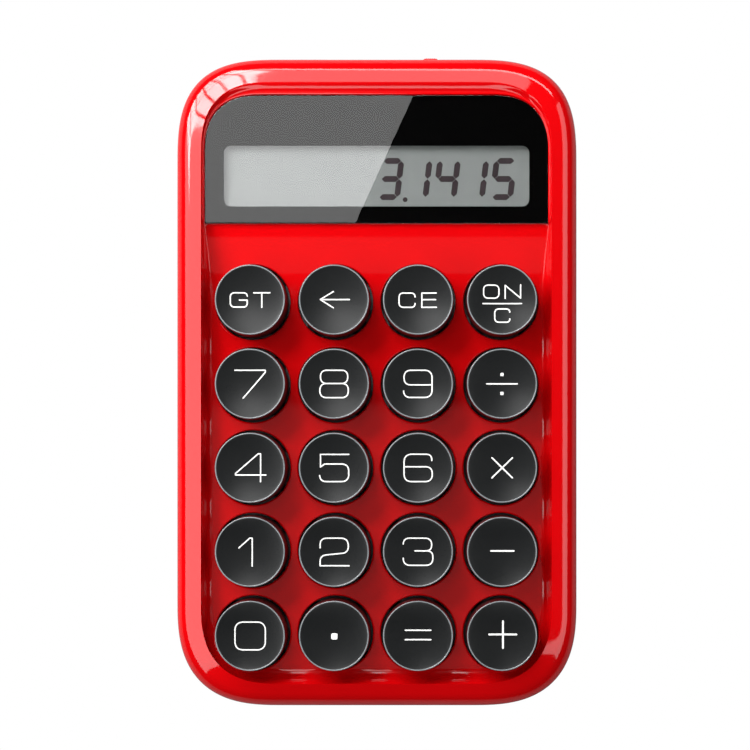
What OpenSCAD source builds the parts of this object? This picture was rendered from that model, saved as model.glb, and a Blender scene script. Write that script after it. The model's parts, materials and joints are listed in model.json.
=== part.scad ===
// Hand-held desk calculator: a wedge-shaped two-part case, a display under a flat lens and
// twenty round dished keys, each on its own sprung plunger switch.
// Units are millimetres. The display and keys stand on a deck plane that leans forward by
// deck_tilt; "deck frame" below means x to the right, y to the rear and z square to that plane.

/* [Case] */
// Width of the case
case_w = 101.4; // [100:0.2:104]
// Length of the case
case_l = 164; // [163:0.5:166]
// Angle between the deck and the table
deck_tilt = 3; // [2.5:0.5:3.5]
// Height of the rim's crest over the deck
rim_h = 5.6; // [5.4:0.1:6]
// Thickness of the lower case's wall
wall = 2.4; // [2.2:0.1:2.6]
// Depth of the case under the deck at its front edge
front_depth = 19.5; // [19.4:0.1:21]

/* [Keys] */
// Distance from one key to the next
key_pitch = 21; // [20.9:0.1:21.2]
// Radius of a key's crown
key_r = 8.75; // [8.5:0.05:8.8]
// Height of a key's lip over the deck
key_h = 8; // [7.8:0.1:8.4]
// Depth of the dish in a key's crown
dish_depth = 1.05; // [0.8:0.05:1.1]
// Radius of the well that a key stands in
well_r = 9.5; // [9.4:0.05:9.7]
// Travel of a key
key_travel = 3.5; // [3:0.1:3.5]

/* [Display] */
// Half of the lens's width
lens_hw = 43.3; // [42:0.1:43.3]
// Height of the lens's upper face over the deck
lens_top = 4.6; // [4.4:0.1:4.8]
// Thickness of the lens
lens_t = 1.6; // [1.4:0.1:1.8]

/* [Slide switch] */
// Travel of the knob in the rear recess
knob_travel = 4; // [3:0.5:4]

/* [Battery door] */
// Half of the door's width
door_hw = 28; // [27.5:0.5:29]

/* [Hidden] */
$fn = 48;
eps = 0.01;
seg = 10;

// Key names by row, from the front row to the rear row, left to right.
KEYS = [
    ["0", "point", "equals", "plus"],
    ["1", "2", "3", "minus"],
    ["4", "5", "6", "times"],
    ["7", "8", "9", "divide"],
    ["total", "back", "ce", "on"],
];

// Heights in the deck frame.
parting_z = -7;
deck_t = 2.2;
lens_z = lens_top - lens_t;
roof_t = 1.2;
plate_z = -9.5;
plate_t = 1.5;
board_z = -14.6;
board_t = 1.6;
housing_top = -2.4;
housing_floor = -11.8;

// Heights over the table.
foot_h = 1.2;
deck_origin_z = foot_h + front_depth * cos(deck_tilt) + case_l / 2 * sin(deck_tilt);
// Centres the whole object, its knob included, over the origin.
deck_origin_y = -0.46;

// Outlines: half width, front y, rear y, corner reach, front and rear corner exponents.
OUTER = [case_w / 2, -case_l / 2, case_l / 2, 26.5, 2.75, 3];
INNER = [44, -76.1, 72.7, 17, 2.4, 2.8];
FOOT = [42.6, -72.7, 72.6, 16, 2.4, 2.8];

// Display places in the deck frame.
lens_front = 39.9;
lens_rear = 72.2;
LENS = [lens_hw, lens_front - 20, lens_rear, 14.5, 2.5, 2.5];
ramp_start = 24;
podium_front = 40.2;
ramp_h = 2.1;

// Key places in the deck frame.
row_y = -21.6;
function key_x(c) = (c - 1.5) * key_pitch;
function key_y(r) = row_y + (r - 2) * key_pitch;

BOSSES = [[-key_pitch, key_y(0.5)], [key_pitch, key_y(0.5)],
          [-key_pitch, key_y(3.5)], [key_pitch, key_y(3.5)],
          [-36, 67], [36, 67]];
FEET = [[-35, -62], [35, -62], [-37, 54], [37, 54]];

// Battery bay, in the table's frame.
bay_y = 57.5;
bay_hx = 25.9;
bay_hy = 11.6;
bay_top = 14.2;
cell_r = 5.15;
cell_len = 43.3;
cell_gap = 5.6;
cell_z = foot_h + wall + 0.3 + cell_r;
door_front = 43;
door_t = 1.4;
door_rise = 10;

// Slide switch, in the deck frame.
knob_x = 13.6;
knob_z = -1.5;

// ---------------------------------------------------------------- outlines and lofts

// Closed outline with superellipse corners, counter-clockwise from the right side.
function outline(o, inset = 0) = [
    for (q = [0:3]) for (k = [0:seg])
        let (f = 90 * k / seg,
             n = q < 2 ? o[5] : o[4],
             c = pow(cos(f), 2 / n),
             s = pow(sin(f), 2 / n),
             u = q % 2 == 0 ? c : s,
             v = q % 2 == 0 ? s : c,
             sx = q == 0 || q == 3 ? 1 : -1,
             sy = q < 2 ? 1 : -1,
             r = o[3] - inset)
        [sx * (o[0] - o[3] + r * u),
         (sy > 0 ? o[2] - o[3] : o[1] + o[3]) + sy * r * v]
];

function at_height(points, z) = [for (p = points) [p.x, p.y, z]];
function mix(a, b, t) = [for (i = [0:len(a) - 1]) a[i] * (1 - t) + b[i] * t];

// Solid through a stack of rings that all have the same number of points.
module loft(rings) {
    n = len(rings[0]);
    m = len(rings);
    polyhedron(
        points = [for (r = rings) for (p = r) p],
        faces = concat(
            [[for (j = [0:n - 1]) j]],
            [for (i = [0:m - 2]) for (j = [0:n - 1])
                let (k = (j + 1) % n)
                [i * n + j, (i + 1) * n + j, (i + 1) * n + k, i * n + k]],
            [[for (j = [n - 1:-1:0]) (m - 1) * n + j]]
        ),
        convexity = 8
    );
}

// Moves its children from the deck frame to the table's frame.
module on_deck() {
    translate([0, deck_origin_y, deck_origin_z])
        rotate([deck_tilt, 0, 0])
            children();
}

module at_key(c, r) {
    translate([key_x(c), key_y(r), 0]) children();
}

module at_keys() {
    for (r = [0:4]) for (c = [0:3]) at_key(c, r) children();
}

// Box from its lowest and highest corners.
module block(low, high) {
    translate(low) cube(high - low);
}

// ---------------------------------------------------------------- case

// Rings over the outer wall, the rounded crest and the hollow inner wall down to the deck.
function upper_rings() = concat(
    [at_height(outline(OUTER, 0.6), parting_z),
     at_height(outline(OUTER, 0.2), -4)],
    [for (b = [0:15:90])
        at_height(mix(outline(OUTER), outline(INNER), 0.75 * (1 - cos(b))),
                  -1 + (rim_h + 1) * sin(b))],
    [at_height(mix(outline(OUTER), outline(INNER), 0.93), rim_h - 0.05)],
    [for (b = [0:15:90])
        at_height(mix(outline(INNER), outline(FOOT), 1 - cos(b)),
                  (rim_h - 0.5) * (1 - sin(b)))]
);

// Profile of the deck's rise to the display, extruded across the case.
module podium() {
    steps = 8;
    intersection() {
        translate([50, 0, 0]) rotate([90, 0, -90]) linear_extrude(100)
            polygon(concat(
                [for (i = [0:steps])
                    [-(ramp_start + (podium_front - ramp_start) * i / steps),
                     ramp_h * pow(i / steps, 2)]],
                [[-podium_front, lens_z], [-74, lens_z], [-74, -deck_t], [-ramp_start, -deck_t]]
            ));
        translate([0, 0, -deck_t]) linear_extrude(deck_t + lens_z)
            polygon(outline(INNER, -0.2));
    }
}

module upper_cavity() {
    translate([0, 0, parting_z - 1]) {
        linear_extrude(1 - parting_z - deck_t) polygon(outline(OUTER, 2.6));
        linear_extrude(1 - parting_z + 3.2) difference() {
            polygon(outline(OUTER, 2.6));
            polygon(outline(INNER, -1.4));
        }
    }
}

// Room for the display under its roof, and the window in the roof.
module display_room() {
    block([-43, 41.7, parting_z - 1], [43, 71.8, lens_z - roof_t]);
    block([-39.9, 43.3, 0], [39.9, 61.2, lens_z + 1]);
}

module rear_recess() {
    translate([1.5, case_l / 2 - 0.5, knob_z]) rotate([-90, 0, 0]) linear_extrude(5) {
        square([27, 6], center = true);
        for (s = [-1, 1]) translate([s * 13.5, 0]) circle(r = 3);
    }
    block([knob_x - knob_travel - 1.3, case_l / 2 - 4, knob_z - 1],
          [knob_x + 1.3, case_l / 2, knob_z + 1]);
}

module upper_shell() {
    color("red") on_deck() difference() {
        union() {
            difference() {
                union() {
                    loft(upper_rings());
                    podium();
                }
                upper_cavity();
                display_room();
            }
            for (i = [0:3]) translate([BOSSES[i].x, BOSSES[i].y, -12.9])
                cylinder(r = 2.2, h = 12.9 - deck_t + 0.5);
            for (i = [4:5]) translate([BOSSES[i].x, BOSSES[i].y, -12.9])
                cylinder(r = 2.2, h = 12.9 + lens_z - roof_t + 0.5);
        }
        at_keys() translate([0, 0, -deck_t - 1]) cylinder(r = well_r, h = 8);
        for (p = BOSSES) translate([p.x, p.y, -13.5])
            cylinder(r = 0.8, h = p.y > 50 ? 14.3 : 12.5);
        rear_recess();
    }
}

// Height of the case's underside in the deck frame.
function under_z(y) = (foot_h - deck_origin_z - y * sin(deck_tilt)) / cos(deck_tilt);

// Rings of the lower case's outer skin, moved inwards by t, from its underside to the parting.
function lower_rings(t = 0, over = 0) = concat(
    [for (b = [90:-15:0])
        [for (p = outline(OUTER, 1 + t + (8 - t) * (1 - cos(b))))
            [p.x, p.y, under_z(p.y) + t + (8 - t) * (1 - sin(b))]]],
    [at_height(outline(OUTER, 0.6 + t), parting_z + over)]
);

module door_zone(gap) {
    block([-door_hw - gap, door_front - gap, -1], [door_hw + gap, 100, foot_h + door_rise + gap]);
}

module lower_shell() {
    color("firebrick") difference() {
        union() {
            on_deck() difference() {
                union() {
                    loft(lower_rings());
                    translate([0, 0, parting_z - 2]) linear_extrude(3.2)
                        polygon(outline(OUTER, 2.75));
                }
                loft(lower_rings(wall, 0));
                translate([0, 0, parting_z - 3]) linear_extrude(5)
                    polygon(outline(OUTER, 3.75));
            }
            // Bay walls and their top.
            block([-bay_hx - 1.6, bay_y - bay_hy - 1.6, foot_h + 1.5],
                  [bay_hx + 1.6, bay_y + bay_hy + 1.6, bay_top + 1.5]);
            intersection() {
                on_deck() loft(lower_rings(0.5));
                on_deck() {
                    for (i = [0:3]) translate([BOSSES[i].x, BOSSES[i].y, -40])
                        cylinder(r = 3.2, h = 40 + board_z - 0.05);
                    for (i = [4:5]) translate([BOSSES[i].x, BOSSES[i].y, -40])
                        cylinder(r = 3.2, h = 40 - 12.95);
                }
            }
        }
        block([-bay_hx, bay_y - bay_hy, -1], [bay_hx, bay_y + bay_hy, bay_top]);
        // Rebate that the battery door lies in.
        intersection() {
            door_zone(0.15);
            difference() {
                translate([-60, 0, -1]) cube([120, 100, 20]);
                on_deck() loft(lower_rings(door_t + 0.15));
            }
        }
        on_deck() for (p = BOSSES) translate([p.x, p.y, -40]) {
            cylinder(r = 1.15, h = 40);
            cylinder(r = 2.2, h = 40 + screw_seat(p));
        }
        for (p = FEET) translate([p.x, p.y, -1]) cylinder(r = 4.6, h = 1 + foot_h + 0.8);
    }
}

// Height of the face that a screw's head bears on.
function screw_seat(p) = p.y > 50 ? -16 : board_z - 2;

module case_screws() {
    color("silver") on_deck() for (p = BOSSES) translate([p.x, p.y, screw_seat(p)]) {
        difference() {
            translate([0, 0, -1.4]) cylinder(r = 1.9, h = 1.4);
            translate([0, 0, -1.5]) linear_extrude(0.9) {
                square([2.2, 0.5], center = true);
                square([0.5, 2.2], center = true);
            }
        }
        cylinder(r = 0.78, h = 11);
    }
}

module rubber_feet() {
    color("dimgray") for (p = FEET) translate([p.x, p.y, 0])
        cylinder(r = 4.5, h = foot_h + 0.75);
}

module battery_door() {
    color("firebrick") {
        intersection() {
            door_zone(0);
            on_deck() difference() {
                loft(lower_rings());
                loft(lower_rings(door_t, 1));
            }
        }
        for (i = [-1:1]) block([-8, 62 + 3 * i, foot_h - 0.4], [8, 63 + 3 * i, foot_h + 0.5]);
    }
}

// ---------------------------------------------------------------- display

module display_lens() {
    color([0.05, 0.05, 0.06]) on_deck() intersection() {
        translate([0, 0, lens_z]) linear_extrude(lens_t) polygon(outline(LENS));
        block([-60, lens_front, 0], [60, 80, 10]);
    }
}

module lcd_panel() {
    color("lightgray") on_deck() {
        block([-41.5, 42.3, 0.7], [41.5, 62.8, 1.7]);
        block([-41.5, 42.3, -0.3], [41.5, 62.8, 0.7]);
    }
}

module lcd_frame() {
    color("white") on_deck() {
        difference() {
            block([-42.6, 41.9, -1.9], [42.6, 63.3, 1.7]);
            block([-41.6, 42.2, -2], [41.6, 62.9, 2]);
        }
        for (sx = [-1, 1]) for (y = [42.6, 62.6]) {
            difference() {
                translate([sx * 41.4, y, -4]) cylinder(r = 0.9, h = 3.6);
                block([-50, 42.2, -0.35], [50, 62.9, 2]);
            }
        }
    }
}

module zebra_strips() {
    color("hotpink") on_deck() for (y = [43.8, 59.4])
        block([-39, y, -1.98], [39, y + 2, -0.32]);
}

module lcd_board() {
    color("green") on_deck() difference() {
        block([-42.5, 41.9, -3.2], [42.5, 63.3, -2]);
        for (sx = [-1, 1]) for (y = [42.6, 62.6])
            translate([sx * 41.4, y, -4]) cylinder(r = 1, h = 3);
    }
}

// Flat cable that leaves the display board, bends down and enters the main board's socket.
module ribbon_cable() {
    r = 2.5;
    t = 0.3;
    start = 46;
    top = -3.22;
    bend = 38;
    bottom = -10.75;
    arc = [for (a = [0:15:90]) [bend - r * sin(a), top - r + r * cos(a)]];
    inner = [for (a = [90:-15:0]) [bend - (r - t) * sin(a), top - r + (r - t) * cos(a)]];
    color("ivory") on_deck() translate([7, 0, 0]) rotate([90, 0, -90]) mirror([1, 0, 0])
        linear_extrude(14)
            polygon(concat([[start, top]], arc, [[bend - r, bottom], [bend - r + t, bottom]],
                           inner, [[start, top - t]]));
}

// ---------------------------------------------------------------- keys and switches

module keycap() {
    sphere_r = (pow(key_r - 0.4, 2) + pow(dish_depth, 2)) / (2 * dish_depth);
    color([0.15, 0.15, 0.15]) {
        difference() {
            rotate_extrude($fn = 96) polygon([
                [0, -0.6], [9, -0.6], [key_r, key_h - 0.35], [key_r - 0.1, key_h - 0.12],
                [key_r - 0.35, key_h], [0, key_h]
            ]);
            translate([0, 0, key_h - dish_depth + sphere_r]) sphere(r = sphere_r, $fn = 200);
            translate([0, 0, -1]) cylinder(r = 7.7, h = 6.4);
        }
        difference() {
            translate([0, 0, 1.6]) cylinder(r = 2.75, h = 4);
            block([-2.08, -0.67, 1], [2.08, 0.67, 5.2]);
            block([-0.67, -2.08, 1], [0.67, 2.08, 5.2]);
        }
    }
}

module stem() {
    color("deepskyblue") {
        block([-2, -0.6, 1], [2, 0.6, 5]);
        block([-0.6, -2, 1], [0.6, 2, 5]);
        block([-3.6, -2.8, -4], [3.6, 2.8, 1.5]);
        block([-4.1, -3.4, -6], [4.1, 3.4, -3.5]);
        translate([0, 0, -9.2]) cylinder(r = 1.1, h = 4);
    }
}

module switch_housing() {
    difference() {
        union() {
            block([-6.95, -6.95, board_z + board_t], [6.95, 6.95, plate_z + plate_t + 0.5]);
            block([-7.5, -7.5, plate_z + plate_t], [7.5, 7.5, -6]);
            block([-5.2, -5.2, -6.5], [5.2, 5.2, housing_top]);
            translate([0, 0, -16.2]) cylinder(r = 2, h = 4);
        }
        block([-4.3, -3.6, housing_floor], [4.3, 3.6, housing_top - 1]);
        block([-3.8, -3, -5], [3.8, 3, housing_top + 1]);
        translate([0, 0, -15.5]) cylinder(r = 1.35, h = 5);
    }
}

module switch_housings() {
    color([0.2, 0.2, 0.22]) on_deck() at_keys() switch_housing();
}

module switch_springs() {
    color("gold") on_deck() at_keys() translate([0, 0, housing_floor + 0.05]) difference() {
        cylinder(r = 2.3, h = 5.7);
        translate([0, 0, -1]) cylinder(r = 1.9, h = 8);
    }
}

module switch_plate() {
    color("slategray") on_deck() difference() {
        block([-42.5, key_y(0) - 10.9, plate_z], [42.5, key_y(4) + 10.3, plate_z + plate_t]);
        at_keys() block([-7.02, -7.02, -10], [7.02, 7.02, -7]);
        for (i = [0:3]) translate([BOSSES[i].x, BOSSES[i].y, -10]) cylinder(r = 2.6, h = 3);
        for (sx = [-1, 1]) translate([sx * 42.5, key_y(0) - 10.9, -10]) rotate([0, 0, 45])
            cube([9, 9, 9], center = true);
    }
}

module main_board() {
    color("darkgreen") on_deck() difference() {
        translate([0, 0, board_z]) linear_extrude(board_t)
            polygon(outline([43, -76, 38, 14, 2.4, 2.4]));
        at_keys() translate([0, 0, board_z - 1]) cylinder(r = 2.1, h = 4);
        for (i = [0:3]) translate([BOSSES[i].x, BOSSES[i].y, board_z - 1])
            cylinder(r = 1.2, h = 4);
    }
}

// Cable socket, potted chip, crystal and small parts on the main board.
module board_components() {
    color("black") on_deck() {
        block([-8.5, 33.8, board_z + board_t], [8.5, 37.4, -10.75]);
        translate([0, 28 - key_pitch * 3, board_z - 1.2]) cylinder(r1 = 4, r2 = 6, h = 1.2);
        block([26, key_y(1) - 12, board_z - 1.6], [30, key_y(1) - 10, board_z]);
        for (i = [0:3]) block([-29, -30 + 4 * i, board_z - 0.8], [-26.5, -28.6 + 4 * i, board_z]);
    }
}

// ---------------------------------------------------------------- batteries

module batteries() {
    color("goldenrod") for (s = [-1, 1])
        translate([0, bay_y + s * cell_gap, cell_z]) rotate([0, s * 90, 0]) {
            translate([0, 0, -cell_len / 2]) cylinder(r = cell_r, h = cell_len);
            translate([0, 0, cell_len / 2 - 0.5]) cylinder(r = 1.9, h = 1.5);
        }
}

module battery_contacts() {
    color("silver") {
        for (s = [-1, 1]) {
            // Flat contact at the nub.
            translate([s * (cell_len / 2 + 1.2), bay_y + s * cell_gap, cell_z])
                cube([0.36, 9, 8], center = true);
            // Spring contact at the flat end.
            translate([-s * (bay_hx - 0.3), bay_y + s * cell_gap, cell_z])
                cube([0.4, 9, 8], center = true);
            translate([-s * (bay_hx - 0.5), bay_y + s * cell_gap, cell_z])
                rotate([0, s * 90, 0]) difference() {
                    cylinder(r1 = 3.6, r2 = 2.4, h = 3.6);
                    translate([0, 0, -0.01]) cylinder(r1 = 3, r2 = 1.8, h = 3.62);
                }
        }
    }
}

// ---------------------------------------------------------------- slide switch

module slide_switch_body() {
    color("silver") on_deck() difference() {
        block([5, 74.6, -4.2], [18.2, 79.3, 1.2]);
        block([6, 76.2, -3.2], [17.2, 78.6, 0.2]);
        block([7.8, 78, -2.7], [15.4, 80, -0.3]);
    }
}

module slide_knob() {
    color("red") on_deck() translate([knob_x, 0, knob_z]) {
        block([-1.75, case_l / 2 - 0.42, -1.7], [1.75, case_l / 2 + 0.7, 1.7]);
        block([-1.15, 77.5, -0.85], [1.15, case_l / 2, 0.85]);
        block([-2, 76.4, -1.5], [2, 78.4, 1.5]);
    }
}

// ---------------------------------------------------------------- nodes

upper_shell();
lower_shell();
display_lens();
lcd_panel();
lcd_frame();
zebra_strips();
lcd_board();
ribbon_cable();
switch_plate();
switch_housings();
switch_springs();
main_board();
board_components();
battery_door();
batteries();
battery_contacts();
rubber_feet();
case_screws();
slide_switch_body();
slide_knob();
for (r = [0:4]) for (c = [0:3]) {
    on_deck() at_key(c, r) keycap();
    on_deck() at_key(c, r) stem();
}
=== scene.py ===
import json
import math

import bmesh
import bpy
import numpy as np
from mathutils import Matrix, Vector
from mathutils.geometry import delaunay_2d_cdt


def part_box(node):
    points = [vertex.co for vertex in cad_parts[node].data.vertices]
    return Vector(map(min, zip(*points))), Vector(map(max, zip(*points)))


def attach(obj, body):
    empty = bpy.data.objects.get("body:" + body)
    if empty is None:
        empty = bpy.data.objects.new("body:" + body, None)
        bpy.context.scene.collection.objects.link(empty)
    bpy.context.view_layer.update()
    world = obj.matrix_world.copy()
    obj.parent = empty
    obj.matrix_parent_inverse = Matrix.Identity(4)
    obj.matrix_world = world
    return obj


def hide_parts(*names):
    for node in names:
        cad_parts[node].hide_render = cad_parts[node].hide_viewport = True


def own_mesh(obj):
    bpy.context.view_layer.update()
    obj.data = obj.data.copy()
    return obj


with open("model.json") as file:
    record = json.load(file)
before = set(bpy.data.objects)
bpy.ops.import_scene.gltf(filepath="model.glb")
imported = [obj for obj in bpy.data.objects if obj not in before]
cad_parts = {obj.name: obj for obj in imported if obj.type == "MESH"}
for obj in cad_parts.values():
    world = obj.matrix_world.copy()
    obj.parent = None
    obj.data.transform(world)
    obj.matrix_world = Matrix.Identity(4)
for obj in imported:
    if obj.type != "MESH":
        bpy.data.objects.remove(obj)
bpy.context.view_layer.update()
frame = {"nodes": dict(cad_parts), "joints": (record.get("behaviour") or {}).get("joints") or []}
scene = bpy.context.scene
nodes = frame["nodes"]

# Everything on the deck is written in millimetres square to the deck: x right, y back, z up from it.
deck = {
    "well": 9.5,            # radius of a key's well
    "wellEdge": 0.45,       # rounding at a well's mouth
    "floor": -2.2,          # underside of the deck
    "pitch": 21.0,
    "middleRow": -21.6,
    "rampStart": 24.0,      # where the deck starts to sweep up to the display
    "rampEnd": 39.6,
    "rampRise": 2.3,
}
keyRows = [
    ["0", "point", "equals", "plus"],
    ["1", "2", "3", "minus"],
    ["4", "5", "6", "times"],
    ["7", "8", "9", "divide"],
    ["total", "back", "ce", "on"],
]
lens = {"half": 43.3, "front": 39.9, "rear": 72.2, "reach": 14.5, "power": 2.5,
        "bottom": 3.0, "top": 4.6, "edge": 0.22}

pressJoint = next(j for j in frame["joints"] if j["name"] == "press_5")
tilt = math.asin(pressJoint["axis"][1])
deckTurn = np.array(Matrix.Rotation(tilt, 3, "X"))
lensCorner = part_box("display_lens")[0]
deckZero = np.array([
    0.0,
    lensCorner.y - 0.001 * (lens["front"] * math.cos(tilt) - lens["top"] * math.sin(tilt)),
    lensCorner.z - 0.001 * (lens["front"] * math.sin(tilt) + lens["bottom"] * math.cos(tilt)),
])


def onDeck(points):
    return np.asarray(points, float).reshape(-1, 3) @ deckTurn.T * 0.001 + deckZero


def keyCentre(row, column):
    return (column - 1.5) * deck["pitch"], deck["middleRow"] + (row - 2) * deck["pitch"]


# Mesh helpers.

def linear(hexColour):
    parts = [int(hexColour[i:i + 2], 16) / 255 for i in (0, 2, 4)]
    return tuple(c / 12.92 if c <= 0.04045 else ((c + 0.055) / 1.055) ** 2.4 for c in parts) + (1.0,)


def makePiece(name, points, faces, material, sharp=30, inWorld=False, patch=None):
    mesh = bpy.data.meshes.new(name)
    placed = np.asarray(points, float).reshape(-1, 3) * 0.001 if inWorld else onDeck(points)
    mesh.from_pydata(placed.tolist(), [], faces)
    if patch is not None:
        mesh.attributes.new("patch", "INT", "FACE").data.foreach_set("value", np.asarray(patch, np.int32))
    mesh.materials.append(material)
    obj = bpy.data.objects.new(name, mesh)
    scene.collection.objects.link(obj)
    tidyMesh(obj, sharp)
    return obj


def tidyMesh(obj, sharp=30):
    work = bmesh.new()
    work.from_mesh(obj.data)
    bmesh.ops.remove_doubles(work, verts=work.verts, dist=2e-7)
    bmesh.ops.delete(work, geom=[v for v in work.verts if not v.link_faces], context="VERTS")
    bmesh.ops.dissolve_degenerate(work, edges=work.edges, dist=1e-7)
    bmesh.ops.recalc_face_normals(work, faces=work.faces)
    work.to_mesh(obj.data)
    work.free()
    obj.data.shade_smooth()
    obj.data.set_sharp_from_angle(angle=math.radians(sharp))
    obj.data.update()


def superOutline(shape, cornerSteps=36, straightStep=2.0):
    # Closed outline with superellipse corners, counter-clockwise from the right side. Insets of one shape
    # have the same number of points, so that their rings match.
    half, front, rear = shape["half"], shape["front"], shape["rear"]
    corners = [  # sign x, sign y, reach, power
        (1, 1, shape["reach"], shape["power"]),
        (-1, 1, shape["reach"], shape["power"]),
        (-1, -1, shape.get("frontReach", shape["reach"]), shape.get("frontPower", shape["power"])),
        (1, -1, shape.get("frontReach", shape["reach"]), shape.get("frontPower", shape["power"])),
    ]
    points = []
    for q, (sx, sy, reach, power) in enumerate(corners):
        cx, cy = half - reach, (rear - reach) if sy > 0 else (front + reach)
        arc = []
        for k in range(cornerSteps + 1):
            f = math.radians(90 * k / cornerSteps)
            c, s = math.cos(f) ** (2 / power) if k < cornerSteps else 0.0, math.sin(f) ** (2 / power)
            u, v = (c, s) if q % 2 == 0 else (s, c)
            arc.append((sx * (cx + reach * u), cy + sy * reach * v))
        if points:
            points += straightLine(points[-1], arc[0], round((60 if q % 2 else 110) / straightStep))
        points += arc
    points += straightLine(points[-1], points[0], round(110 / straightStep))
    return np.array(points)


def straightLine(a, b, count):
    # Points between a and b, without them.
    return [(a[0] + (b[0] - a[0]) * i / count, a[1] + (b[1] - a[1]) * i / count) for i in range(1, count)]


def ringFaces(rings, start=0, closeLow=False, closeHigh=False):
    # Quads between rings of equal length, given as one stacked list.
    count = len(rings[0])
    faces = []
    for i in range(len(rings) - 1):
        a, b = start + i * count, start + (i + 1) * count
        faces += [(a + k, a + (k + 1) % count, b + (k + 1) % count, b + k) for k in range(count)]
    if closeLow:
        faces.append(tuple(range(start + count - 1, start - 1, -1)))
    if closeHigh:
        last = start + (len(rings) - 1) * count
        faces.append(tuple(range(last, last + count)))
    return faces


def wrapFaces(count, rings):
    # Quads round a closed row of rings, as round a frame's section.
    faces = []
    for i in range(rings):
        a, b = i * count, (i + 1) % rings * count
        faces += [(a + k, a + (k + 1) % count, b + (k + 1) % count, b + k) for k in range(count)]
    return faces


def stack(rings):
    return np.vstack([np.asarray(r, float) for r in rings])


def atHeight(outline, z):
    # The outline with one more coordinate: the same for every point, or one for each.
    outline = np.asarray(outline, float)
    return np.column_stack([outline, np.broadcast_to(z, len(outline))])


def latheMesh(profile, steps, centre=(0.0, 0.0)):
    # Profile is (radius, height) from pole to pole, or a closed loop off the axis.
    angles = np.linspace(0, 2 * math.pi, steps, endpoint=False)
    closed = profile[0][0] > 0 and profile[-1][0] > 0
    points, faces, rings = [], [], []
    for radius, z in profile:
        if radius <= 1e-9:
            rings.append([len(points)])
            points.append((centre[0], centre[1], z))
        else:
            rings.append(list(range(len(points), len(points) + steps)))
            points += [(centre[0] + radius * math.cos(a), centre[1] + radius * math.sin(a), z)
                       for a in angles]
    pairs = list(zip(rings, rings[1:])) + ([(rings[-1], rings[0])] if closed else [])
    for low, high in pairs:
        for k in range(steps):
            n = (k + 1) % steps
            if len(low) == 1:
                faces.append((low[0], high[n], high[k]))
            elif len(high) == 1:
                faces.append((low[k], low[n], high[0]))
            else:
                faces.append((low[k], low[n], high[n], high[k]))
    return points, faces


def fillRegion(loops, holes=(), extra=()):
    # Triangles that cover the loops less the holes. Returns 2D points and faces.
    points = [tuple(p) for loop in list(loops) + list(holes) for p in loop] + [tuple(p) for p in extra]
    edges, start = [], 0
    for loop in list(loops) + list(holes):
        edges += [(start + k, start + (k + 1) % len(loop)) for k in range(len(loop))]
        start += len(loop)
    found = delaunay_2d_cdt([Vector(p) for p in points], edges, [], 0, 1e-6)
    flat = np.array([tuple(v) for v in found[0]])
    triangles = np.array([f for f in found[2] if len(f) == 3])
    middle = flat[triangles].mean(axis=1)
    keep = np.zeros(len(triangles), bool)
    for loop in loops:
        keep |= insideLoop(middle, loop)
    for hole in holes:
        keep &= ~insideLoop(middle, hole)
    a, b, c = (flat[triangles[:, k]] for k in range(3))
    keep &= np.abs(np.cross(b - a, c - a)) > 1e-9
    return flat, [tuple(int(i) for i in t) for t in triangles[keep]]


def insideLoop(points, loop):
    loop = np.asarray(loop, float)
    a, b = loop, np.roll(loop, -1, axis=0)
    x, y = points[:, 0][:, None], points[:, 1][:, None]
    spans = (a[:, 1] > y) != (b[:, 1] > y)
    with np.errstate(divide="ignore", invalid="ignore"):
        cross = (b[:, 0] - a[:, 0]) * (y - a[:, 1]) / (b[:, 1] - a[:, 1]) + a[:, 0]
    return (spans & (x < cross)).sum(axis=1) % 2 == 1


def rectangle(x0, x1, y0, y1):
    return np.array([(x0, y0), (x1, y0), (x1, y1), (x0, y1)])


def circleLoop(radius, steps, centre=(0.0, 0.0)):
    angles = np.linspace(0, 2 * math.pi, steps, endpoint=False)
    return np.column_stack([centre[0] + radius * np.cos(angles), centre[1] + radius * np.sin(angles)])


def platePoints(loops, holes, low, high):
    # A flat plate with holes, as one closed mesh.
    flat, triangles = fillRegion(loops, holes)
    count = len(flat)
    points = np.vstack([atHeight(flat, low), atHeight(flat, high)])
    faces = [t[::-1] for t in triangles] + [tuple(i + count for i in t) for t in triangles]
    faces += sideFaces(triangles, count)
    return points, faces


def sideFaces(sheet, shift):
    # Walls along the open edges of a sheet of faces, to its copy that starts at index shift.
    used = dict.fromkeys((a, b) for face in sheet for a, b in zip(face, face[1:] + face[:1]))
    return [(a, b, b + shift, a + shift) for a, b in used if (b, a) not in used]


def joinParts(parts):
    # Several (points, faces) lists as one.
    points, faces, start = [], [], 0
    for p, f in parts:
        p = np.asarray(p, float).reshape(-1, 3)
        points.append(p)
        faces += [tuple(int(i) + start for i in face) for face in f]
        start += len(p)
    return np.vstack(points), faces


# Material helpers.

def addNode(tree, kind, settings=None, links=None):
    node = tree.nodes.new(kind)
    for key, value in (settings or {}).items():
        if isinstance(key, int) or key in node.inputs:
            node.inputs[key].default_value = value
        else:
            setattr(node, key, value)
    for key, source in (links or {}).items():
        tree.links.new(source, node.inputs[key])
    return node


def newMaterial(name, colour, settings):
    material = bpy.data.materials.new(name)
    material.use_nodes = True
    tree = material.node_tree
    shader = tree.nodes["Principled BSDF"]
    shader.inputs["Base Color"].default_value = linear(colour)
    for key, value in settings.items():
        shader.inputs[key].default_value = value
    return material, tree, shader


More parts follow.
